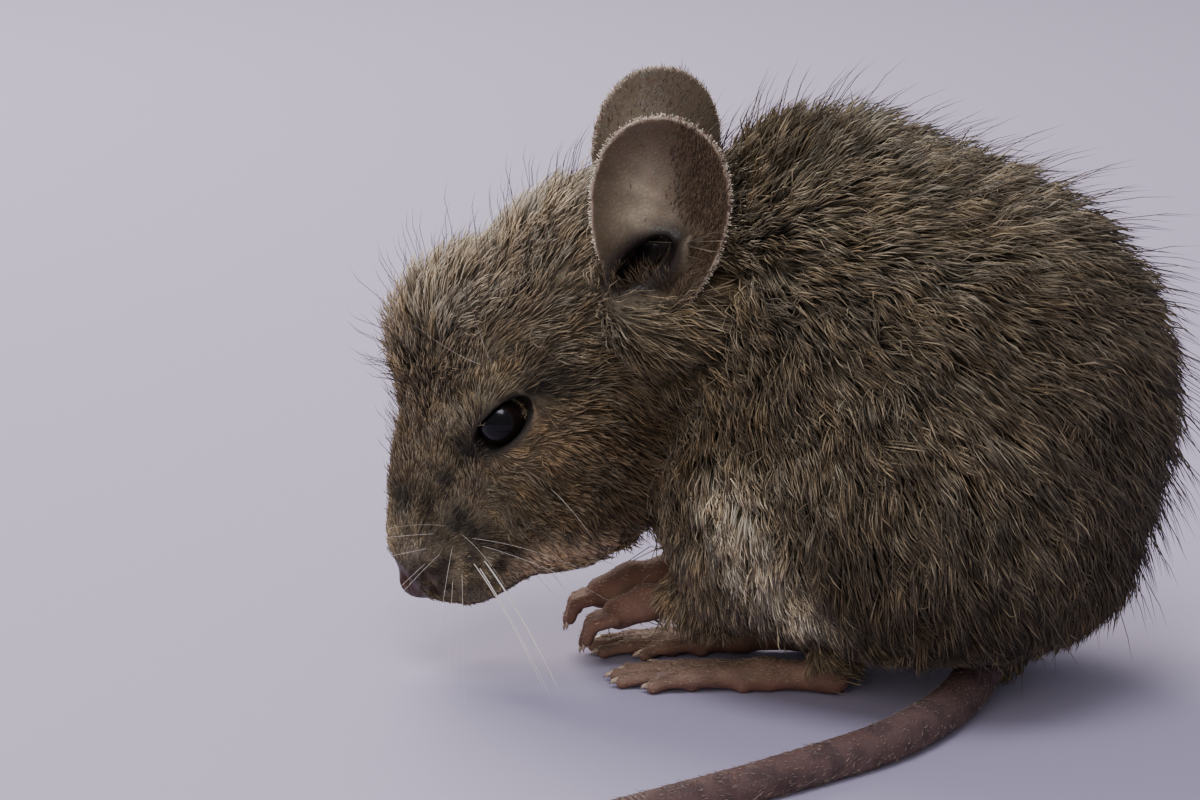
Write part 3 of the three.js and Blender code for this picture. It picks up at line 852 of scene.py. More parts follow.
# markings, shared by the skin and the coat: soft patches of colour laid over the ground colour; each
# has its frame, places on the left side, radius in mm, colour and strength, and the right side mirrors it
groundTone = "#766955"
markings = {
    "back": ("body", [(-3, 0, 38), (6, 0, 36), (13, 0, 30)], 7.0, "#625746", 0.7),
    "rump": ("body", [(16, -5, 20), (13, -9, 22), (15, -6, 12)], 6.0, "#463b30", 0.65),
    "lower flank": ("body", [(-1.5, -13, 11), (4, -12.5, 9), (8, -11.5, 7)], 3.5, "#35281c", 0.8),
    "shoulder": ("body", [(-12.5, -8, 18), (-11, -9.5, 22), (-10.5, -9, 14)], 3.0, "#5e4e39", 0.7),
    "pale tuft": ("body", [(-9.7, -11, 14.8), (-7.9, -11.6, 12.4), (-6.0, -11, 9.2)], 1.6, "#dccdb2", 0.9),
    "belly": ("body", [(0, 0, 2), (-6, -2, 3), (6, -2, 3), (-11, -3, 5.5)], 3.6, "#7b6a54", 0.8),
    "cheek": ("head", [(-15, -7.3, 15), (-13, -7, 18), (-13.5, -7, 12.5)], 2.4, "#4e3e2d", 0.75),
    "behind cheek": ("head", [(-10.5, -6.8, 15), (-9.8, -7, 19)], 2.2, "#493829", 0.75),
    "throat": ("head", [(-16.0, -4.4, 8.4), (-14.2, -4.8, 9.4), (-12.2, -2.8, 9.4)], 1.7, "#ccb092", 0.92),
    "crown": ("head", [(-17, -1, 31), (-22, -1, 28), (-12, -1, 34)], 3.0, "#bfb09b", 0.8),
    "brow": ("head", [(-25.8, -1.5, 21), (-26, -1.5, 17)], 2.4, "#76644f", 0.7),
    "bridge": ("head", [(-25.4, -1, 13)], 1.6, "#4b3c2e", 0.8),
    "before ear": ("head", [(-13.4, -5.4, 30), (-14.5, -6.3, 27.5)], 1.3, "#8f806a", 0.8),
    "pad band": ("head", [(-25.0, -2.3, 12.0), (-23.4, -3.5, 11.9), (-21.7, -4.4, 11.3), (-20.7, -4.8, 10.6),
                          (-20.0, -4.9, 10.0), (-18.5, -4.8, 9.6)], 0.72, "#211b16", 0.95),
    "pad": ("head", [(-23.4, -3.8, 10.3), (-22.2, -4.2, 9.6)], 0.7, "#463d31", 0.85),
    "nose side": ("head", [(-24.4, -3.0, 8.8)], 0.5, "#8f8273", 0.8),
    "nose flank": ("head", [(-24.6, -2.4, 6.8), (-24.0, -3.1, 7.5), (-23.2, -3.9, 7.7), (-23.4, -3.2, 6.5),
                            (-22.5, -4.2, 7.7)], 0.6, "#35231d", 0.92),
    "lip pale": ("head", [(-21.6, -4.6, 9.0), (-21.6, -4.5, 8.2), (-21.6, -4.4, 7.4),
                          (-19.9, -4.6, 9.1), (-19.9, -4.4, 8.3), (-19.8, -4.2, 7.5)], 0.42, "#83755f", 0.95),
    "lip dark": ("head", [(-20.8, -4.7, 9.1), (-20.75, -4.5, 8.3), (-20.7, -4.3, 7.5), (-19.1, -4.4, 8.4),
                          (-22.5, -4.3, 8.6), (-22.5, -4.1, 7.2)], 0.38, "#17100c", 0.95),
    # darker along the groove below the eye's inner corner
    "dark from inner corner": ("head", [(-20.9, -5.4, 16.4), (-21.5, -4.8, 15.2), (-22.2, -3.9, 13.8)],
                    0.7, "#2b2520", 0.85),
    "lid corners": ("head", [(-20.3, -6.0, 16.6), (-20.9, -5.6, 15.9),
                             (-16.7, -7.0, 20.9), (-15.9, -7.1, 21.4)], 0.55, "#17120f", 0.95),
    "lid tuft": ("head", [(-20.8, -5.8, 19.6), (-20.3, -6.1, 20.5), (-19.4, -6.3, 21.2), (-18.5, -6.4, 21.7)],
                 0.36, "#a08c6c", 0.8),
    "below eye": ("head", [(-16.5, -7.1, 18.6), (-17.8, -7.0, 16.6), (-15.7, -7.4, 17.4)],
                  0.8, "#7f6850", 0.85),
}


def paintedTone(points):
    tone = np.tile(hexColour(groundTone), (len(points), 1))
    for where, spots, radius, colour, strength in markings.values():
        for side in (1, -1):
            weight = np.zeros(len(points))
            for spot in spots:
                q = np.array(mirrored(spot, side))
                q = headToBody(q) if where == "head" else q
                away2 = ((points - q) ** 2).sum(1)
                weight = np.maximum(weight, np.exp(-away2 / (2 * radius ** 2)))
            tone = mixIn(tone, colour, weight * strength)
    return tone


# the skin's own colours
skinTones = {
    "underFur": 0.5,        # share of the coat's tone that the skin under it has: painted shade, dark between the tufts
    "foot": "#654f44", "footSole": "#66493f", "paw": "#5f463b",
    "nose": "#3c261d", "lidRim": "#17120f",
    # the rim's pale tone is a painted rim light, and the pale tone is painted light in the middle of the ear
    # and along its fold
    "earRimLight": "#8d7d70", "earPale": "#897d6a", "earBrown": "#45392b",
    # the hole's near black is painted shade in the recess
    "earHole": "#17110f", "earBack": "#463b2f",
    "tailTop": "#4f3c39", "tailUnder": "#5f4942", "tailMottle": "#35292a",
}


def flat(points, colour):
    return np.zeros((len(points), 3)) + hexColour(skinTones[colour])


def earTone(points, found):
    # painted light: pale where it is thinnest and along the fold, with a painted rim light at the edge; brown
    # towards the rear; painted shade, dark in its hollow
    q = found["inEar"]
    thin = np.exp(-((q[:, 0] + 1.4) / 1.7) ** 2 - ((q[:, 2] - 1.0) / 2.6) ** 2)
    fold = np.exp(-((q[:, 0] + 0.4 - 0.5 * (q[:, 2] + 0.6)) / 1.6) ** 2 - ((q[:, 2] + 0.6) / 0.8) ** 2)
    # painted rim light along the leaf's edge
    rim = smoothStep(0.97, 1.0, found["earOut"])
    mottle = 1 + 0.16 * waves(points, 2.0, 12) + 0.1 * waves(points, 0.9, 13)
    # painted light in the middle of the leaf and a painted highlight along the fold
    pale = np.clip((0.9 * thin + 0.7 * fold) * mottle, 0, 1)
    inner = mixIn(flat(points, "earBrown"), skinTones["earPale"], pale)
    inner = mixIn(inner, skinTones["earRimLight"], rim)
    outer = mixIn(flat(points, "earBack"), skinTones["earPale"], 0.5 * thin)
    outer = mixIn(outer, skinTones["earRimLight"], rim * 0.5)
    leaf = mixIn(outer, inner, found["earInside"])
    # painted shade, darkest in the hollow
    return mixIn(leaf, skinTones["earHole"], 1 - smoothStep(-0.6, 1.6, found["earHole"]))


def skinTone(points, normals, found):
    # painted shade: the skin under the coat takes half the coat's tone, so the gaps between the tufts look
    # dark
    tone = paintedTone(points) * skinTones["underFur"]
    mottle = 0.5 + 0.5 * waves(points, 2.2, 11)
    tone = mixIn(tone, earTone(points, found), found["ear"])
    # the feet and the tail are redder below
    below = smoothStep(0.2, -0.6, normals[:, 2])
    foot = mixIn(flat(points, "foot"), skinTones["footSole"], below)
    tone = mixIn(tone, foot * (0.86 + 0.28 * mottle[:, None]), found["foot"])
    tone = mixIn(tone, hexColour(skinTones["paw"]) * (0.85 + 0.3 * mottle[:, None]), found["paw"])
    tailTone = mixIn(flat(points, "tailTop"), skinTones["tailUnder"], below)
    tailTone = mixIn(tailTone, skinTones["tailMottle"], 0.55 * smoothStep(0.45, 0.95, mottle))
    tone = mixIn(tone, tailTone, found["tail"])
    tone = mixIn(tone, skinTones["nose"], found["nose"])
    return mixIn(tone, skinTones["lidRim"], np.maximum(found["lid"], 0.8 * found["lidShade"]))


# what every kind of skin has; a material's own settings come over these
softSkin = {"IOR": 1.4, "Specular IOR Level": 0.4, "Subsurface Weight": 0.12, "Subsurface Scale": 0.0006}


def skinMaterial(name, settings, grain, depth, shade, rings=None):
    # grain is the size of the creases in mm, depth their height in mm, shade how dark the painted shade in
    # them is
    material, tree, shader = newMaterial(name, {**softSkin, **settings})
    tone = node(tree, "ShaderNodeAttribute", {"attribute_name": "tone"}).outputs["Color"]
    place = node(tree, "ShaderNodeTexCoord").outputs["Object"]
    creases = node(tree, "ShaderNodeTexVoronoi", {"feature": "DISTANCE_TO_EDGE"},
                   {"Vector": place, "Scale": 1 / (grain * mm)}).outputs["Distance"]
    mottle = node(tree, "ShaderNodeTexNoise", None,
                  {"Vector": place, "Scale": 1 / (grain * 5 * mm), "Detail": 4.0}).outputs["Fac"]
    height = node(tree, "ShaderNodeMath", {"operation": "MULTIPLY_ADD"},
                  {0: creases, 1: 1.4, 2: mottle}).outputs[0]
    if rings:
        along = node(tree, "ShaderNodeAttribute", {"attribute_name": "along"}).outputs["Fac"]
        turns = node(tree, "ShaderNodeMath", {"operation": "MULTIPLY"}, {0: along, 1: 2 * math.pi / rings})
        wave = node(tree, "ShaderNodeMath", {"operation": "SINE"}, {0: turns.outputs[0]}).outputs[0]
        height = node(tree, "ShaderNodeMath", {"operation": "MULTIPLY_ADD"},
                      {0: wave, 1: 0.35, 2: height}).outputs[0]
    # painted shade: the colour is darker in the creases and between the tail's rings, and varies with the
    # mottle
    colour = tintedBy(tree, tone, height, shade, 1.08)
    bump = node(tree, "ShaderNodeBump", None, {"Height": height, "Distance": depth * mm, "Strength": 0.8})
    tree.links.new(colour, shader.inputs["Base Color"])
    tree.links.new(bump.outputs["Normal"], shader.inputs["Normal"])
    return material


skinMaterials = [
    # matt and dark with painted shade: what shows between the hairs
    skinMaterial("living skin under fur, grown", {
        "Roughness": 0.8, "Subsurface Weight": 0.0}, 0.35, 0.04, 0.7),
    # thin, so that light glows in it, with fine wrinkles and a dull shine
    skinMaterial("ear leather, grown thin", {
        "Roughness": 0.7, "Specular IOR Level": 0.25, "Subsurface Weight": 0.2}, 0.3, 0.03, 0.86),
    # rings of small scales, drawn at their real spacing of 0.4 mm
    skinMaterial("tail skin, ringed with scales", {"Roughness": 0.5}, 0.25, 0.06, 0.7, rings=0.4),
    # creased and faintly moist, so that the knuckles catch light
    skinMaterial("foot skin, bare and creased", {
        "Roughness": 0.5, "Subsurface Weight": 0.3}, 0.28, 0.05, 0.82),
    # pebbled and damp, so it has small soft lights
    skinMaterial("nose leather, moist", {"Roughness": 0.42}, 0.16, 0.04, 0.75),
]


def finishSkin():
    found = readPlaces(skinPoints)
    paintPoints(skinData, "tone", skinTone(skinPoints, skinNormals, found))
    along = skinData.attributes.new("along", "FLOAT", "POINT")
    along.data.foreach_set("value", found["along"].astype(np.float32))
    for material in skinMaterials:
        skinData.materials.append(material)
    kinds = [found["ear"], found["tail"], np.maximum(found["foot"], found["paw"]), found["nose"]]
    # a face has the material of its first corner: the furred skin where nothing else is over a half
    kind = np.argmax(np.stack([np.full(len(skinPoints), 0.5)] + kinds), 0)
    skinData.polygons.foreach_set("material_index", kind[skinFaces[:, 0]].astype(np.int32))
    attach(skin, "root")
    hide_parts(*[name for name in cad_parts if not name.startswith("eye")])
    return {name: weight[skinFaces].mean(1) for name, weight in found.items()}


facePlaces = finishSkin()
print("skin finished")


# the coat: thin tapering tufts, each a closed mesh, gathered into locks
coat = {
    # tufts, tufts to a lock, how far the tips of a lock come together, how unlike the locks' tones are, seed
    "body": (88000, 10, 0.5, 0.15, 32),
    "head": (40000, 9, 0.36, 0.1, 31),
    "stray": 20,                # degrees, how much the locks differ in their lie
    "wild": 0.05,               # share of the tufts that stand out of their lock
    "girth": (0.046, 0.011),    # mm, and mm more for each mm of length
    "rootDepth": 0.1,           # mm that the roots sit in the skin
    "aboveFloor": 0.12,         # mm, the lowest that a tuft hangs
    "rootShare": 0.56, "middleShare": 0.75,    # how dark the hair is at its root and middle: its own dark base, with painted shade from the tufts around it
    "paleTip": "#9d8e76", "darkTip": "#2a221b",
}
patch = 0.003      # each tuft's patch on the skin's unwrap
cornerA, cornerB, cornerC = [skinPoints[skinFaces[:, i]] for i in range(3)]
faceCross = np.cross(cornerB - cornerA, cornerC - cornerA)
faceArea = 0.5 * np.linalg.norm(faceCross, axis=1)


def rootsOn(weights, count, draw):
    # places on the skin's faces, as often as the weights say
    face = draw.choice(len(skinFaces), count, p=weights / weights.sum())
    u, v = draw.random(count), draw.random(count)
    flip = u + v > 1
    u, v = np.where(flip, 1 - u, u), np.where(flip, 1 - v, v)
    share = np.stack([1 - u - v, u, v], 1)[:, :, None]
    corners = skinFaces[face]
    place = (skinPoints[corners] * share).sum(1)
    normal = unit((skinNormals[corners] * share).sum(1))
    onMap = (skinMap[faceLoops[face]] * share).sum(1)
    return place, normal, onMap


def alongSurface(way, normal):
    return unit(way - (way * normal).sum(1, keepdims=True) * normal)


def lieAt(root, normal):
    # the way the coat lies at each root, its length and its lift
    values = readGuides(root, "way", "length", "lift")
    return alongSurface(unit(values[:, :3]), normal), values[:, 3], values[:, 4]


def turnedAbout(way, axis, angle):
    angle = angle[:, None]
    return way * np.cos(angle) + np.cross(axis, way) * np.sin(angle)


def tuftPaths(root, normal, lie, length, lift, bend=(1.35, 0.85, 0.5), joints=(0.4, 0.75, 1.0)):
    # four points along each tuft, more upright at the root than at the tip
    path = [root]
    before = 0.0
    for share, joint in zip(bend, joints):
        angle = np.radians(lift * share)[:, None]
        way = lie * np.cos(angle) + normal * np.sin(angle)
        path.append(path[-1] + way * length[:, None] * (joint - before))
        before = joint
    return np.stack(path, 1)


def gatherLocks(path, size, strength, draw):
    # tufts near each other lean together towards the tip of their lock's own first tuft
    count = len(path)
    leaders = draw.choice(count, max(1, count // size), replace=False)
    tree = kdtree.KDTree(len(leaders))
    for k in leaders:
        tree.insert(path[k, 0], int(k))
    tree.balance()
    leader = np.array([tree.find(q)[1] for q in path[:, 0]])
    pull = strength * draw.uniform(0.6, 1.25, count)
    for joint, share in ((1, 0.15), (2, 0.6), (3, 1.0)):
        weight = np.clip(pull * share, 0, 0.95)[:, None]
        path[:, joint] += (path[leader, joint] - path[:, joint]) * weight
    return path, leader


def tuftFaces(rings):
    # one tuft's triangles: the root's cap, the sides from ring to ring, and the point
    faces = [(0, 2, 1)]
    for r in range(rings - 1):
        for corner in range(3):
            a, b = 3 * r + corner, 3 * r + (corner + 1) % 3
            faces += [(a, b, b + 3), (a, b + 3, a + 3)]
    last, tip = 3 * (rings - 1), 3 * rings
    return np.array(faces + [(last + corner, last + (corner + 1) % 3, tip) for corner in range(3)])


def tuftMesh(name, path, girth, colours, onMap, rings):
    # rings of three corners along each tuft, closed at the root, drawn out to a point at the tip
    count = len(path)
    ahead = unit(path[:, -1] - path[:, 0])
    aside = unit(np.cross(ahead, np.roll(ahead, 1, axis=1) + (0.3, 0.1, 0.2)))
    above = np.cross(ahead, aside)
    levels = (0, 1, 2) if rings == 3 else (0, 2)      # which points of the path have a ring
    widths = (0.85, 1.0, 0.72)[:rings]                # shares of the tuft's girth
    points, tones, spots = [], [], []
    for level, width in zip(levels, widths):
        for corner in range(3):
            a = 2 * math.pi * corner / 3
            off = (aside * math.cos(a) + above * math.sin(a)) * (girth * 0.5 * width)[:, None]
            points.append(path[:, level] + off)
            tones.append(colours[:, level])
            spots.append((corner / 3, (0.0, 0.4, 0.75)[level]))
    points.append(path[:, 3])
    tones.append(colours[:, 3])
    spots.append((0.5, 1.0))
    perTuft = len(points)
    faces = (tuftFaces(rings)[None] + (np.arange(count) * perTuft)[:, None, None]).reshape(-1, 3)
    points = np.stack(points, 1).reshape(-1, 3)
    mesh = bpy.data.meshes.new(name)
    mesh.vertices.add(len(points))
    mesh.vertices.foreach_set("co", toScene(points).astype(np.float32).ravel())
    mesh.loops.add(faces.size)
    mesh.loops.foreach_set("vertex_index", faces.ravel().astype(np.int32))
    mesh.polygons.add(len(faces))
    mesh.polygons.foreach_set("loop_start", np.arange(0, faces.size, 3, dtype=np.int32))
    mesh.polygons.foreach_set("use_smooth", np.ones(len(faces), bool))
    mesh.update()
    paintPoints(mesh, "hair", np.stack(tones, 1).reshape(-1, 3))
    # each tuft's patch lies at its root's place on the skin's unwrap, across and along the tuft
    spots = (onMap[:, None] + (np.array(spots) - 0.5)[None] * patch).reshape(-1, 2)
    mesh.uv_layers.new(name="OFBake").data.foreach_set("uv", spots[faces.ravel()].astype(np.float32).ravel())
    return intoScene(name, mesh)


def hairColours(root, leader, unlike, draw):
    # a dark root and middle, partly the hair's own dark base and partly painted shade, a paler band and a tip
    # that is dark on some hairs and pale on others
    count = len(root)
    tone = paintedTone(root)
    lockTone = 1 + unlike * (draw.normal(size=count)[leader] + waves(root, 5.0, 21) + waves(root, 1.5, 23))
    own = 1 + 0.1 * draw.normal(size=count)
    tone = tone * np.clip(lockTone * own, 0.4, 1.9)[:, None]
    # some locks are warmer, some greyer
    warmth = 0.035 * waves(root, 2.4, 24) + 0.03 * draw.normal(size=count)[leader]
    tone = tone * np.stack([1 + warmth, np.ones(count), 1 - 1.4 * warmth], 1)
    kind = draw.random(count) - 0.16 * waves(root, 2.6, 22)
    pale, dark = kind > 0.87, kind < 0.19
    middle = tone * np.where(dark, 0.35, coat["middleShare"])[:, None]
    band = tone * np.where(dark, 0.45, np.where(pale, 1.2, 1.0))[:, None]
    tip = band * 0.85
    tip[pale] = tone[pale] + 0.14 * hexColour(coat["paleTip"])
    tip[dark] = hexColour(coat["darkTip"])
    return np.stack([tone * coat["rootShare"], middle, band, tip], 1)


def fleckedMaterial(name, settings, layerName, grain, detail):
    # the painted tone, with finer lights and darks over the grain's size in mm
    material, tree, shader = newMaterial(name, settings)
    tone = node(tree, "ShaderNodeAttribute", {"attribute_name": layerName}).outputs["Color"]
    place = node(tree, "ShaderNodeTexCoord").outputs["Object"]
    fleck = node(tree, "ShaderNodeTexNoise", None,
                 {"Vector": place, "Scale": 1 / (grain * mm), "Detail": detail}).outputs["Fac"]
    tree.links.new(tintedBy(tree, tone, fleck, 0.7, 1.3), shader.inputs["Base Color"])
    return material


# hair scatters light along its length, so it is rough with a soft sheen and little gloss;
# the lights and darks, 0.5 mm across, are where the hairs turn
furMaterial = fleckedMaterial("mouse hair, grown, banded grey and tan", {
    "Roughness": 0.6, "IOR": 1.55, "Specular IOR Level": 0.13,
    "Sheen Weight": 0.03, "Sheen Roughness": 0.5}, "hair", 0.5, 3.0)


def furWeights(where):
    # how thick the hair stands on each face: none on bare skin, the eyes' rims and the soles
    centre = skinPoints[skinFaces].mean(1)
    bare = np.max([facePlaces[name] for name in ("ear", "tail", "foot", "paw", "nose", "lid")], 0)
    # the head's coat ends softly behind the ears and under the jaw, where the body's begins
    x, _, z = inHead(columns(centre))
    headShare = smoothStep(-6.0, -9.0, x) * smoothStep(1.0, 4.0, centre[:, 2] + 0.4 * (-12 - centre[:, 0]))
    headShare *= smoothStep(11.5, 12.5, z - 1.2 * (x + 12))
    length = readGuides(centre, "length")[:, 0]
    share = headShare if where == "head" else 1 - headShare
    floorward = smoothStep(0.05, 0.5, centre[:, 2])
    return faceArea * (1 - bare) ** 2 * share * floorward / length ** 0.85


def clearOfEars(path):
    # no tuft passes through the leaf of an ear or ends across its hollow
    clear = np.ones(len(path), bool)
    for side in (-1, 1):
        before = None
        for joint in range(4):
            q = inEar(inHead(columns(path[:, joint])), side)
            out, cup, _, _ = earLeaf(q)
            behind = q[1] > cup
            if before is not None:
                clear &= ~((behind != before) & (out < 1.12) & (np.abs(q[1] - cup) < 3.5))
            before = behind
        clear &= hollowOfEar(q) > -0.5
    return clear


def keepOffFloor(path, height):
    path[:, :, 2] = np.maximum(path[:, :, 2], height)
    return path


def growCoat(where):
    count, lockSize, gather, unlike, seed = coat[where]
    draw = np.random.default_rng(seed)
    root, normal, onMap = rootsOn(furWeights(where), count, draw)
    lie, length, lift = lieAt(root, normal)
    sway = np.radians(coat["stray"]) * (waves(root, 4.5, 41) + 0.8 * waves(root, 1.6, 42))
    sway += np.radians(7) * draw.normal(size=count)
    wild = draw.random(count) < coat["wild"]
    lie = turnedAbout(lie, normal, np.where(wild, sway * 2.4, sway))
    length = length * np.clip(1 + 0.17 * draw.normal(size=count), 0.55, 1.5)
    lift = lift * (1 + 0.22 * waves(root, 2.4, 43)) + 5 * draw.normal(size=count) + 12 * wild
    path = tuftPaths(root - coat["rootDepth"] * normal, normal, lie, length, np.clip(lift, 4, 80))
    path, leader = gatherLocks(path, lockSize, gather, draw)
    path = keepOffFloor(path, coat["aboveFloor"])
    colours = hairColours(root, leader, unlike, draw)
    girth = coat["girth"][0] + coat["girth"][1] * length
    clear = clearOfEars(path)
    return path[clear], girth[clear], colours[clear], onMap[clear]


def addPieces(name, grown, rings, parts):
    # left and right, each parted from nose to tail into pieces of under 200,000 faces
    path, girth, colours, onMap = grown
    for sideName, side in (("left", path[:, 0, 1] < 0), ("right", path[:, 0, 1] >= 0)):
        index = np.where(side)[0]
        index = index[np.argsort(path[index, 0, 0], kind="stable")]
        for k, some in enumerate(np.array_split(index, parts)):
            pieceName = f"{name}_{sideName}_{k + 1}"
            piece = tuftMesh(pieceName, path[some], girth[some], colours[some], onMap[some], rings)
            piece.data.materials.append(furMaterial)
            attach(piece, "root")


addPieces("coat_body", growCoat("body"), rings=2, parts=3)
addPieces("coat_head", growCoat("head"), rings=2, parts=2)
print("coat grown")


# the eyeballs, a little more curved in front, where the cornea stands
eyeLooks = {
    "inset": 0.06,       # mm that the ball is smaller than its socket
    "cornea": 0.11,      # mm that the cornea stands out
    "corneaReach": 0.8,  # its half width, as a share of the ball's radius
    "gaze": (-0.35, 1.0, 0.12),    # the way the right eye looks, in the head's frame
    "pupil": "#050406", "iris": "#120c0b", "white": "#2a211f",
}


def eyeTone(off):
    # off runs from 0 at the pupil's middle to 1 at the side of the ball
    iris = np.zeros((len(off), 3)) + hexColour(eyeLooks["iris"])
    tone = mixIn(iris, eyeLooks["pupil"], 1 - smoothStep(0.42, 0.5, off))
    return mixIn(tone, eyeLooks["white"], smoothStep(0.85, 1.0, off))


def addEye(nodeName, side):
    mesh = bpy.data.meshes.new("eye")
    ball = bmesh.new()
    bmesh.ops.create_icosphere(ball, subdivisions=5, radius=1.0)
    ball.to_mesh(mesh)
    ball.free()
    points = readArray(mesh.vertices, "co", 3).astype(float)
    gaze = unit(np.array(mirrored(eyeLooks["gaze"], side)))
    off = np.arccos(np.clip(points @ gaze, -1, 1)) / (math.pi / 2)
    stand = eyeLooks["cornea"] * (1 - smoothStep(0.35, eyeLooks["corneaReach"], off))
    points = points * (body["eyeRadius"] - eyeLooks["inset"] + stand)[:, None]
    points = headToBody(points + mirrored(body["eye"], side))
    mesh.vertices.foreach_set("co", toScene(points).astype(np.float32).ravel())
    paintPoints(mesh, "tone", eyeTone(off))
    mesh.shade_smooth()
    mesh.update()
    mesh.materials.append(eyeMaterial)
    eye = intoScene(nodeName + "_ball", mesh)
    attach(eye, "root")
    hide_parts(nodeName)


# a wet clear cornea over a dark iris: nearly black, with sharp small lights;
# the iris's fine spokes are 0.2 mm apart
eyeMaterial = fleckedMaterial("wet cornea over a dark iris", {
    "Roughness": 0.25, "IOR": 1.38, "Specular IOR Level": 0.15,
    "Coat Weight": 0.4, "Coat Roughness": 0.1, "Coat IOR": 1.34}, "tone", 0.2, 2.0)
addEye("eye_left", -1)
addEye("eye_right", 1)


def tubes(name, routes, radii, corners, material):
    # closed tapering tubes along routes, joined into one piece; radii runs from root to tip
    points, faces = [], []
    for route, girths in zip(routes, radii):
        route = np.asarray(route, float)
        ahead = unit(np.gradient(route, axis=0))
        aside = unit(np.cross(ahead, (0.31, 0.22, 0.92)))
        above = np.cross(ahead, aside)
        first = len(points)
        rings = len(route) - 1
        for k in range(rings):
            for c in range(corners):
                a = 2 * math.pi * c / corners
                points.append(route[k] + (aside[k] * math.cos(a) + above[k] * math.sin(a)) * girths[k])
        points.append(route[-1])
        tip = len(points) - 1
        faces.append(tuple(first + c for c in reversed(range(corners))))
        for k in range(rings):
            for c in range(corners):
                a, b = first + k * corners + c, first + k * corners + (c + 1) % corners
                faces.append((a, b, b + corners, a + corners) if k < rings - 1 else (a, b, tip))
    mesh = bpy.data.meshes.new(name)
    mesh.from_pydata(toScene(np.array(points)).tolist(), [], faces)
    mesh.shade_smooth()
    mesh.materials.append(material)
    piece = intoScene(name, mesh)
    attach(piece, "root")


def keratinMaterial(name, settings, colour, other, grain):
    # two close colours that change over the grain's size in mm, with a slight bump
    material, tree, shader = newMaterial(name, settings)
    place = node(tree, "ShaderNodeTexCoord").outputs["Object"]
    noise = node(tree, "ShaderNodeTexNoise", None,
                 {"Vector": place, "Scale": 1 / (grain * mm), "Detail": 3.0}).outputs["Fac"]
    mixed = node(tree, "ShaderNodeMix", {"data_type": "RGBA"}, {
        "Factor": noise, 6: (*hexColour(colour), 1), 7: (*hexColour(other), 1)}).outputs[2]
    bump = node(tree, "ShaderNodeBump", None, {"Height": noise, "Distance": 0.02 * mm, "Strength": 0.5})
    tree.links.new(mixed, shader.inputs["Base Color"])
    tree.links.new(bump.outputs["Normal"], shader.inputs["Normal"])
    return material


# grown horn: half clear and smooth, so each claw has a thin light along it
clawMaterial = keratinMaterial("claw horn, grown", {"Roughness": 0.35, "IOR": 1.54},
                               "#6d5a4c", "#b3a08c", 0.4)
claws = {    # mm
    # from the toe's tip
    "toeCurve": [(0.25, 0, 0.1), (-0.25, 0, 0.13), (-0.62, 0, 0.02), (-0.98, 0, -0.26)],
    "toeRadii": [0.24, 0.22, 0.15, 0],
    "fingerCurve": [(-0.1, 0), (0.2, 0.1), (0.5, 0.1), (0.85, 0)],    # along the finger, and towards -X
    "fingerRadii": [0.2, 0.18, 0.12, 0],
}


def addClaws():
    routes, radii = [], []
    ahead = np.array((-1.0, 0, 0))
    for side in (-1, 1):
        for toe in hindFoot["toes"]:
            tip = toeJoints(toe)[3]
            routes.append([fromHeel(side, np.add(tip, q)) for q in claws["toeCurve"]])
            radii.append(claws["toeRadii"])
        for finger in foreleg["fingers"]:
            _, knuckle, tip = fingerPoints(side, finger)
            way = unit(tip - knuckle)
            routes.append([tip + along * way + out * ahead for along, out in claws["fingerCurve"]])
            radii.append(claws["fingerRadii"])
    tubes("claws", routes, radii, 8, clawMaterial)


addClaws()
print("eyes and claws set")


# fine hairs on the ears, feet and tail
fine = {
    # name: how many, length and girth in mm, lift in degrees, colour, share of it at the root, seed
    "ear_inner": (2600, 0.8, 0.045, 14, "#564536", 0.7, 59),
    "ear_base": (700, 1.2, 0.05, 16, "#4b3d2f", 0.6, 58),
    "ear_outer": (2600, 0.45, 0.045, 9, "#54463a", 0.7, 59),
    # the rim's short hairs are pale as a painted rim light
    "ear_rim": (1500, 0.17, 0.05, 25, "#b5a898", 0.8, 57),
    "feet": (3400, 0.42, 0.045, 8, "#83705f", 0.7, 54),
    "paws": (1100, 0.3, 0.04, 8, "#8d7160", 0.7, 54),
    "tail": (2800, 0.5, 0.036, 12, "#8a7a70", 0.8, 54),
}
fineSizes = {"rootDepth": 0.04, "aboveFloor": 0.08, "stray": 14}    # mm, mm, degrees


def fineWeights(name):
    place = facePlaces
    local = place["inEar"]
    leaf = place["ear"] * smoothStep(0.0, 1.0, place["earHole"])
    rear = smoothStep(-0.6, 1.8, local[:, 0] + 0.25 * local[:, 2] * (local[:, 2] < 0))
    rim = smoothStep(0.93, 1.0, place["earOut"])
    upward = smoothStep(-0.35, 0.25, unit(faceCross)[:, 2])
    share = {
        "ear_inner": leaf * place["earInside"] * (0.03 + rear) * (1 - rim),
        "ear_base": place["ear"] * smoothStep(-3.6, -4.8, local[:, 2]),
        "ear_outer": leaf * (1 - place["earInside"]),
        "ear_rim": leaf * rim,
        "feet": place["foot"] * upward,
        "paws": place["paw"] * upward,
        "tail": place["tail"],
    }[name]
    return faceArea * share ** 1.5


def fineWay(name, root):
    # towards the toes, along the tail, or up and out towards the ear's rim
    if name == "tail":
        return tailPlace(root)[2]
    if name in ("feet", "paws"):
        return np.tile((-1.0, 0.0, -0.15), (len(root), 1))
    head = inHead(columns(root))
    way = np.zeros((len(root), 3))
    for side in (-1, 1):
        x, _, z = inEar(head, side)
        local = np.stack([0.5 * x + 0.4, 0 * x, 0.5 * z + 3.0], 1)
        if name == "ear_base":
            local = np.tile((-0.5, -0.2, 0.85), (len(x), 1))
        if name == "ear_rim":
            local = np.stack([x / ear["halfWidth"], 0 * x - 0.1, z / ear["halfHeight"]], 1)
        inHeadFrame = local @ earTurn.T * (1, -side, 1)
        chosen = side * root[:, 1] > 0
        way[chosen] = turned(inHeadFrame, body["headTurn"])[chosen]
    return way


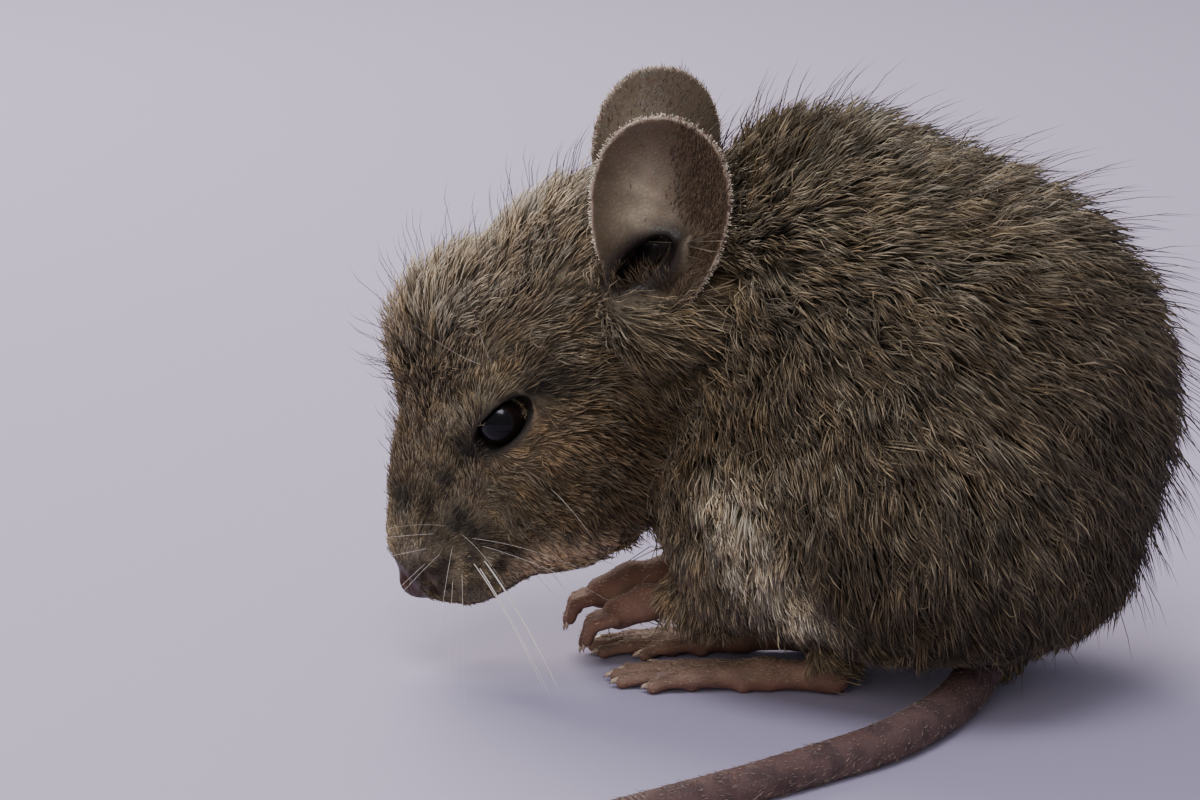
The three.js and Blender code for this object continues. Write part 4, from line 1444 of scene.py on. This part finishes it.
def growFine(name):
    count, length, girth, lift, colour, rootShare, seed = fine[name]
    draw = np.random.default_rng(seed)
    root, normal, onMap = rootsOn(fineWeights(name), count, draw)
    way = unit(fineWay(name, root))
    lie = way if name == "ear_rim" else alongSurface(way, normal)
    lie = turnedAbout(lie, normal, np.radians(fineSizes["stray"]) * draw.normal(size=count))
    lengths = length * np.clip(1 + 0.3 * draw.normal(size=count), 0.4, 1.8)
    lifts = np.clip(lift + 6 * draw.normal(size=count), 3, 60)
    path = tuftPaths(root - fineSizes["rootDepth"] * normal, normal, lie, lengths, lifts)
    path = keepOffFloor(path, fineSizes["aboveFloor"])
    tone = hexColour(colour) * np.clip(1 + 0.22 * draw.normal(size=count), 0.4, 1.8)[:, None]
    colours = np.stack([tone * rootShare, tone * 0.85, tone, tone * 1.1], 1)
    return path, np.full(count, girth), colours, onMap


def growSeveral(names):
    parts = [growFine(name) for name in names]
    return [np.concatenate([part[i] for part in parts]) for i in range(4)]


addPieces("hair_ears", growSeveral(["ear_inner", "ear_base", "ear_outer", "ear_rim"]), rings=2, parts=1)
addPieces("hair_feet", growSeveral(["feet", "paws"]), rings=2, parts=1)
addPieces("hair_tail", growSeveral(["tail"]), rings=2, parts=1)


# long guard hairs that stand out of the coat, over the body and over the head
guard = {
    # how many, times the coat's length, degrees higher, girth in mm, shortest coat they grow in, in mm, rings
    "body": (3400, 1.55, 13, 0.075, 2.4, 3),
    "head": (1900, 1.6, 26, 0.042, 1.3, 2),
    "stray": 16,              # degrees
    "fromHeight": (6, 16),    # mm above the floor, none below the first and all above the second, on the body
    "colour": "#41382d", "tip": "#8d806c", "paleTips": 0.35,
    "seed": 61,
}


def growGuard(where):
    draw = np.random.default_rng(guard["seed"])
    count, longer, lifted, girth, shortest, rings = guard[where]
    root, normal, onMap = rootsOn(furWeights(where), count, draw)
    lie, coatLength, coatLift = lieAt(root, normal)
    lie = turnedAbout(lie, normal, np.radians(guard["stray"]) * draw.normal(size=count))
    length = coatLength * longer * np.clip(1 + 0.16 * draw.normal(size=count), 0.6, 1.4)
    lift = np.clip(coatLift + lifted + 6 * draw.normal(size=count), 5, 75)
    path = tuftPaths(root - coat["rootDepth"] * normal, normal, lie, length, lift, bend=(1.1, 0.9, 0.7))
    keep = coatLength > shortest
    if where == "body":
        keep &= smoothStep(*guard["fromHeight"], root[:, 2]) > draw.random(count)
    keep &= clearOfEars(path)
    tone = hexColour(guard["colour"]) * np.clip(1 + 0.25 * draw.normal(size=count), 0.5, 1.8)[:, None]
    pale = (draw.random(count) < guard["paleTips"])[:, None]
    tip = np.where(pale, hexColour(guard["tip"]), tone * 0.6)
    colours = np.stack([tone * 0.5, tone, tone, tip], 1)
    return path[keep], np.full(count, girth)[keep], colours[keep], onMap[keep]


addPieces("hair_guard", growGuard("body"), rings=guard["body"][-1], parts=1)
addPieces("hair_crown", growGuard("head"), rings=guard["head"][-1], parts=1)
print("fine and long hairs grown")


# the whiskers, in the head's frame for the left side, in mm: root, tip, sag, girth at the root
whiskers = [
    ((-19.9, -4.5, 8.8), (-14.5, -12.2, 1.5), 0.6, 0.09),
    ((-20.2, -4.5, 8.3), (-15.2, -11.5, 1.2), 0.4, 0.085),
    ((-19.6, -4.5, 8.4), (-14.9, -11.8, 2.3), 0.5, 0.085),
    ((-20.6, -4.5, 8.6), (-15.6, -12.6, 2.0), 0.6, 0.07),
    ((-21.3, -4.4, 8.0), (-20.9, -12.9, 0.8), 0.4, 0.025),
    ((-21.9, -4.2, 7.6), (-22.1, -11.0, 1.4), 0.3, 0.025),
    ((-20.0, -4.8, 9.8), (-11.3, -13.5, 8.5), 0.4, 0.025),
    ((-20.7, -4.7, 10.3), (-12.5, -15.5, 11.0), 0.4, 0.025),
    ((-21.4, -4.6, 10.6), (-18.0, -17.0, 10.5), 0.4, 0.025),
    ((-21.9, -4.4, 9.7), (-22.5, -15.0, 6.5), 0.3, 0.025),
    ((-22.6, -4.1, 9.2), (-27.2, -12.0, 6.0), 0.2, 0.025),
    ((-23.0, -4.0, 10.4), (-30.5, -9.6, 11.0), 0.2, 0.025),
    ((-23.3, -3.8, 9.4), (-31.0, -7.6, 8.6), 0.1, 0.025),
    ((-22.2, -4.3, 11.0), (-26.5, -14.5, 13.5), 0.3, 0.025),
    ((-23.6, -3.6, 8.4), (-28.6, -8.5, 4.6), 0.1, 0.025),
]
browHairs = [    # two long hairs over the eye and one on the cheek
    ((-19.8, -6.0, 22.4), (-24.2, -9.4, 26.0), -0.3, 0.03),
    ((-19.2, -6.2, 22.6), (-20.5, -10.8, 28.2), -0.4, 0.03),
    ((-15.6, -7.4, 14.6), (-12.5, -13.4, 12.6), 0.3, 0.03),
]
# a stiff hollow hair, clear and glossy, so that it shines white against the dark coat
whiskerMaterial = keratinMaterial("whisker, stiff clear hair", {"Roughness": 0.3, "IOR": 1.55},
                                  "#c8c2b9", "#a8a096", 2.0)


def addWhiskers():
    routes, radii = [], []
    t = np.linspace(0, 1, 13)[:, None]
    for side in (-1, 1):
        for root, tip, sag, girth in whiskers + browHairs:
            a, b = [headToBody(np.array(q) * (1, -side, 1)) for q in (root, tip)]
            route = a + (b - a) * t + np.array((0, 0, 4 * sag)) * (t - t ** 2)
            routes.append(route - 0.25 * unit(b - a) * (1 - t))
            radii.append(girth / 2 * (1 - 0.8 * t[:, 0]))
    tubes("whiskers", routes, radii, 6, whiskerMaterial)


addWhiskers()
print("whiskers set")
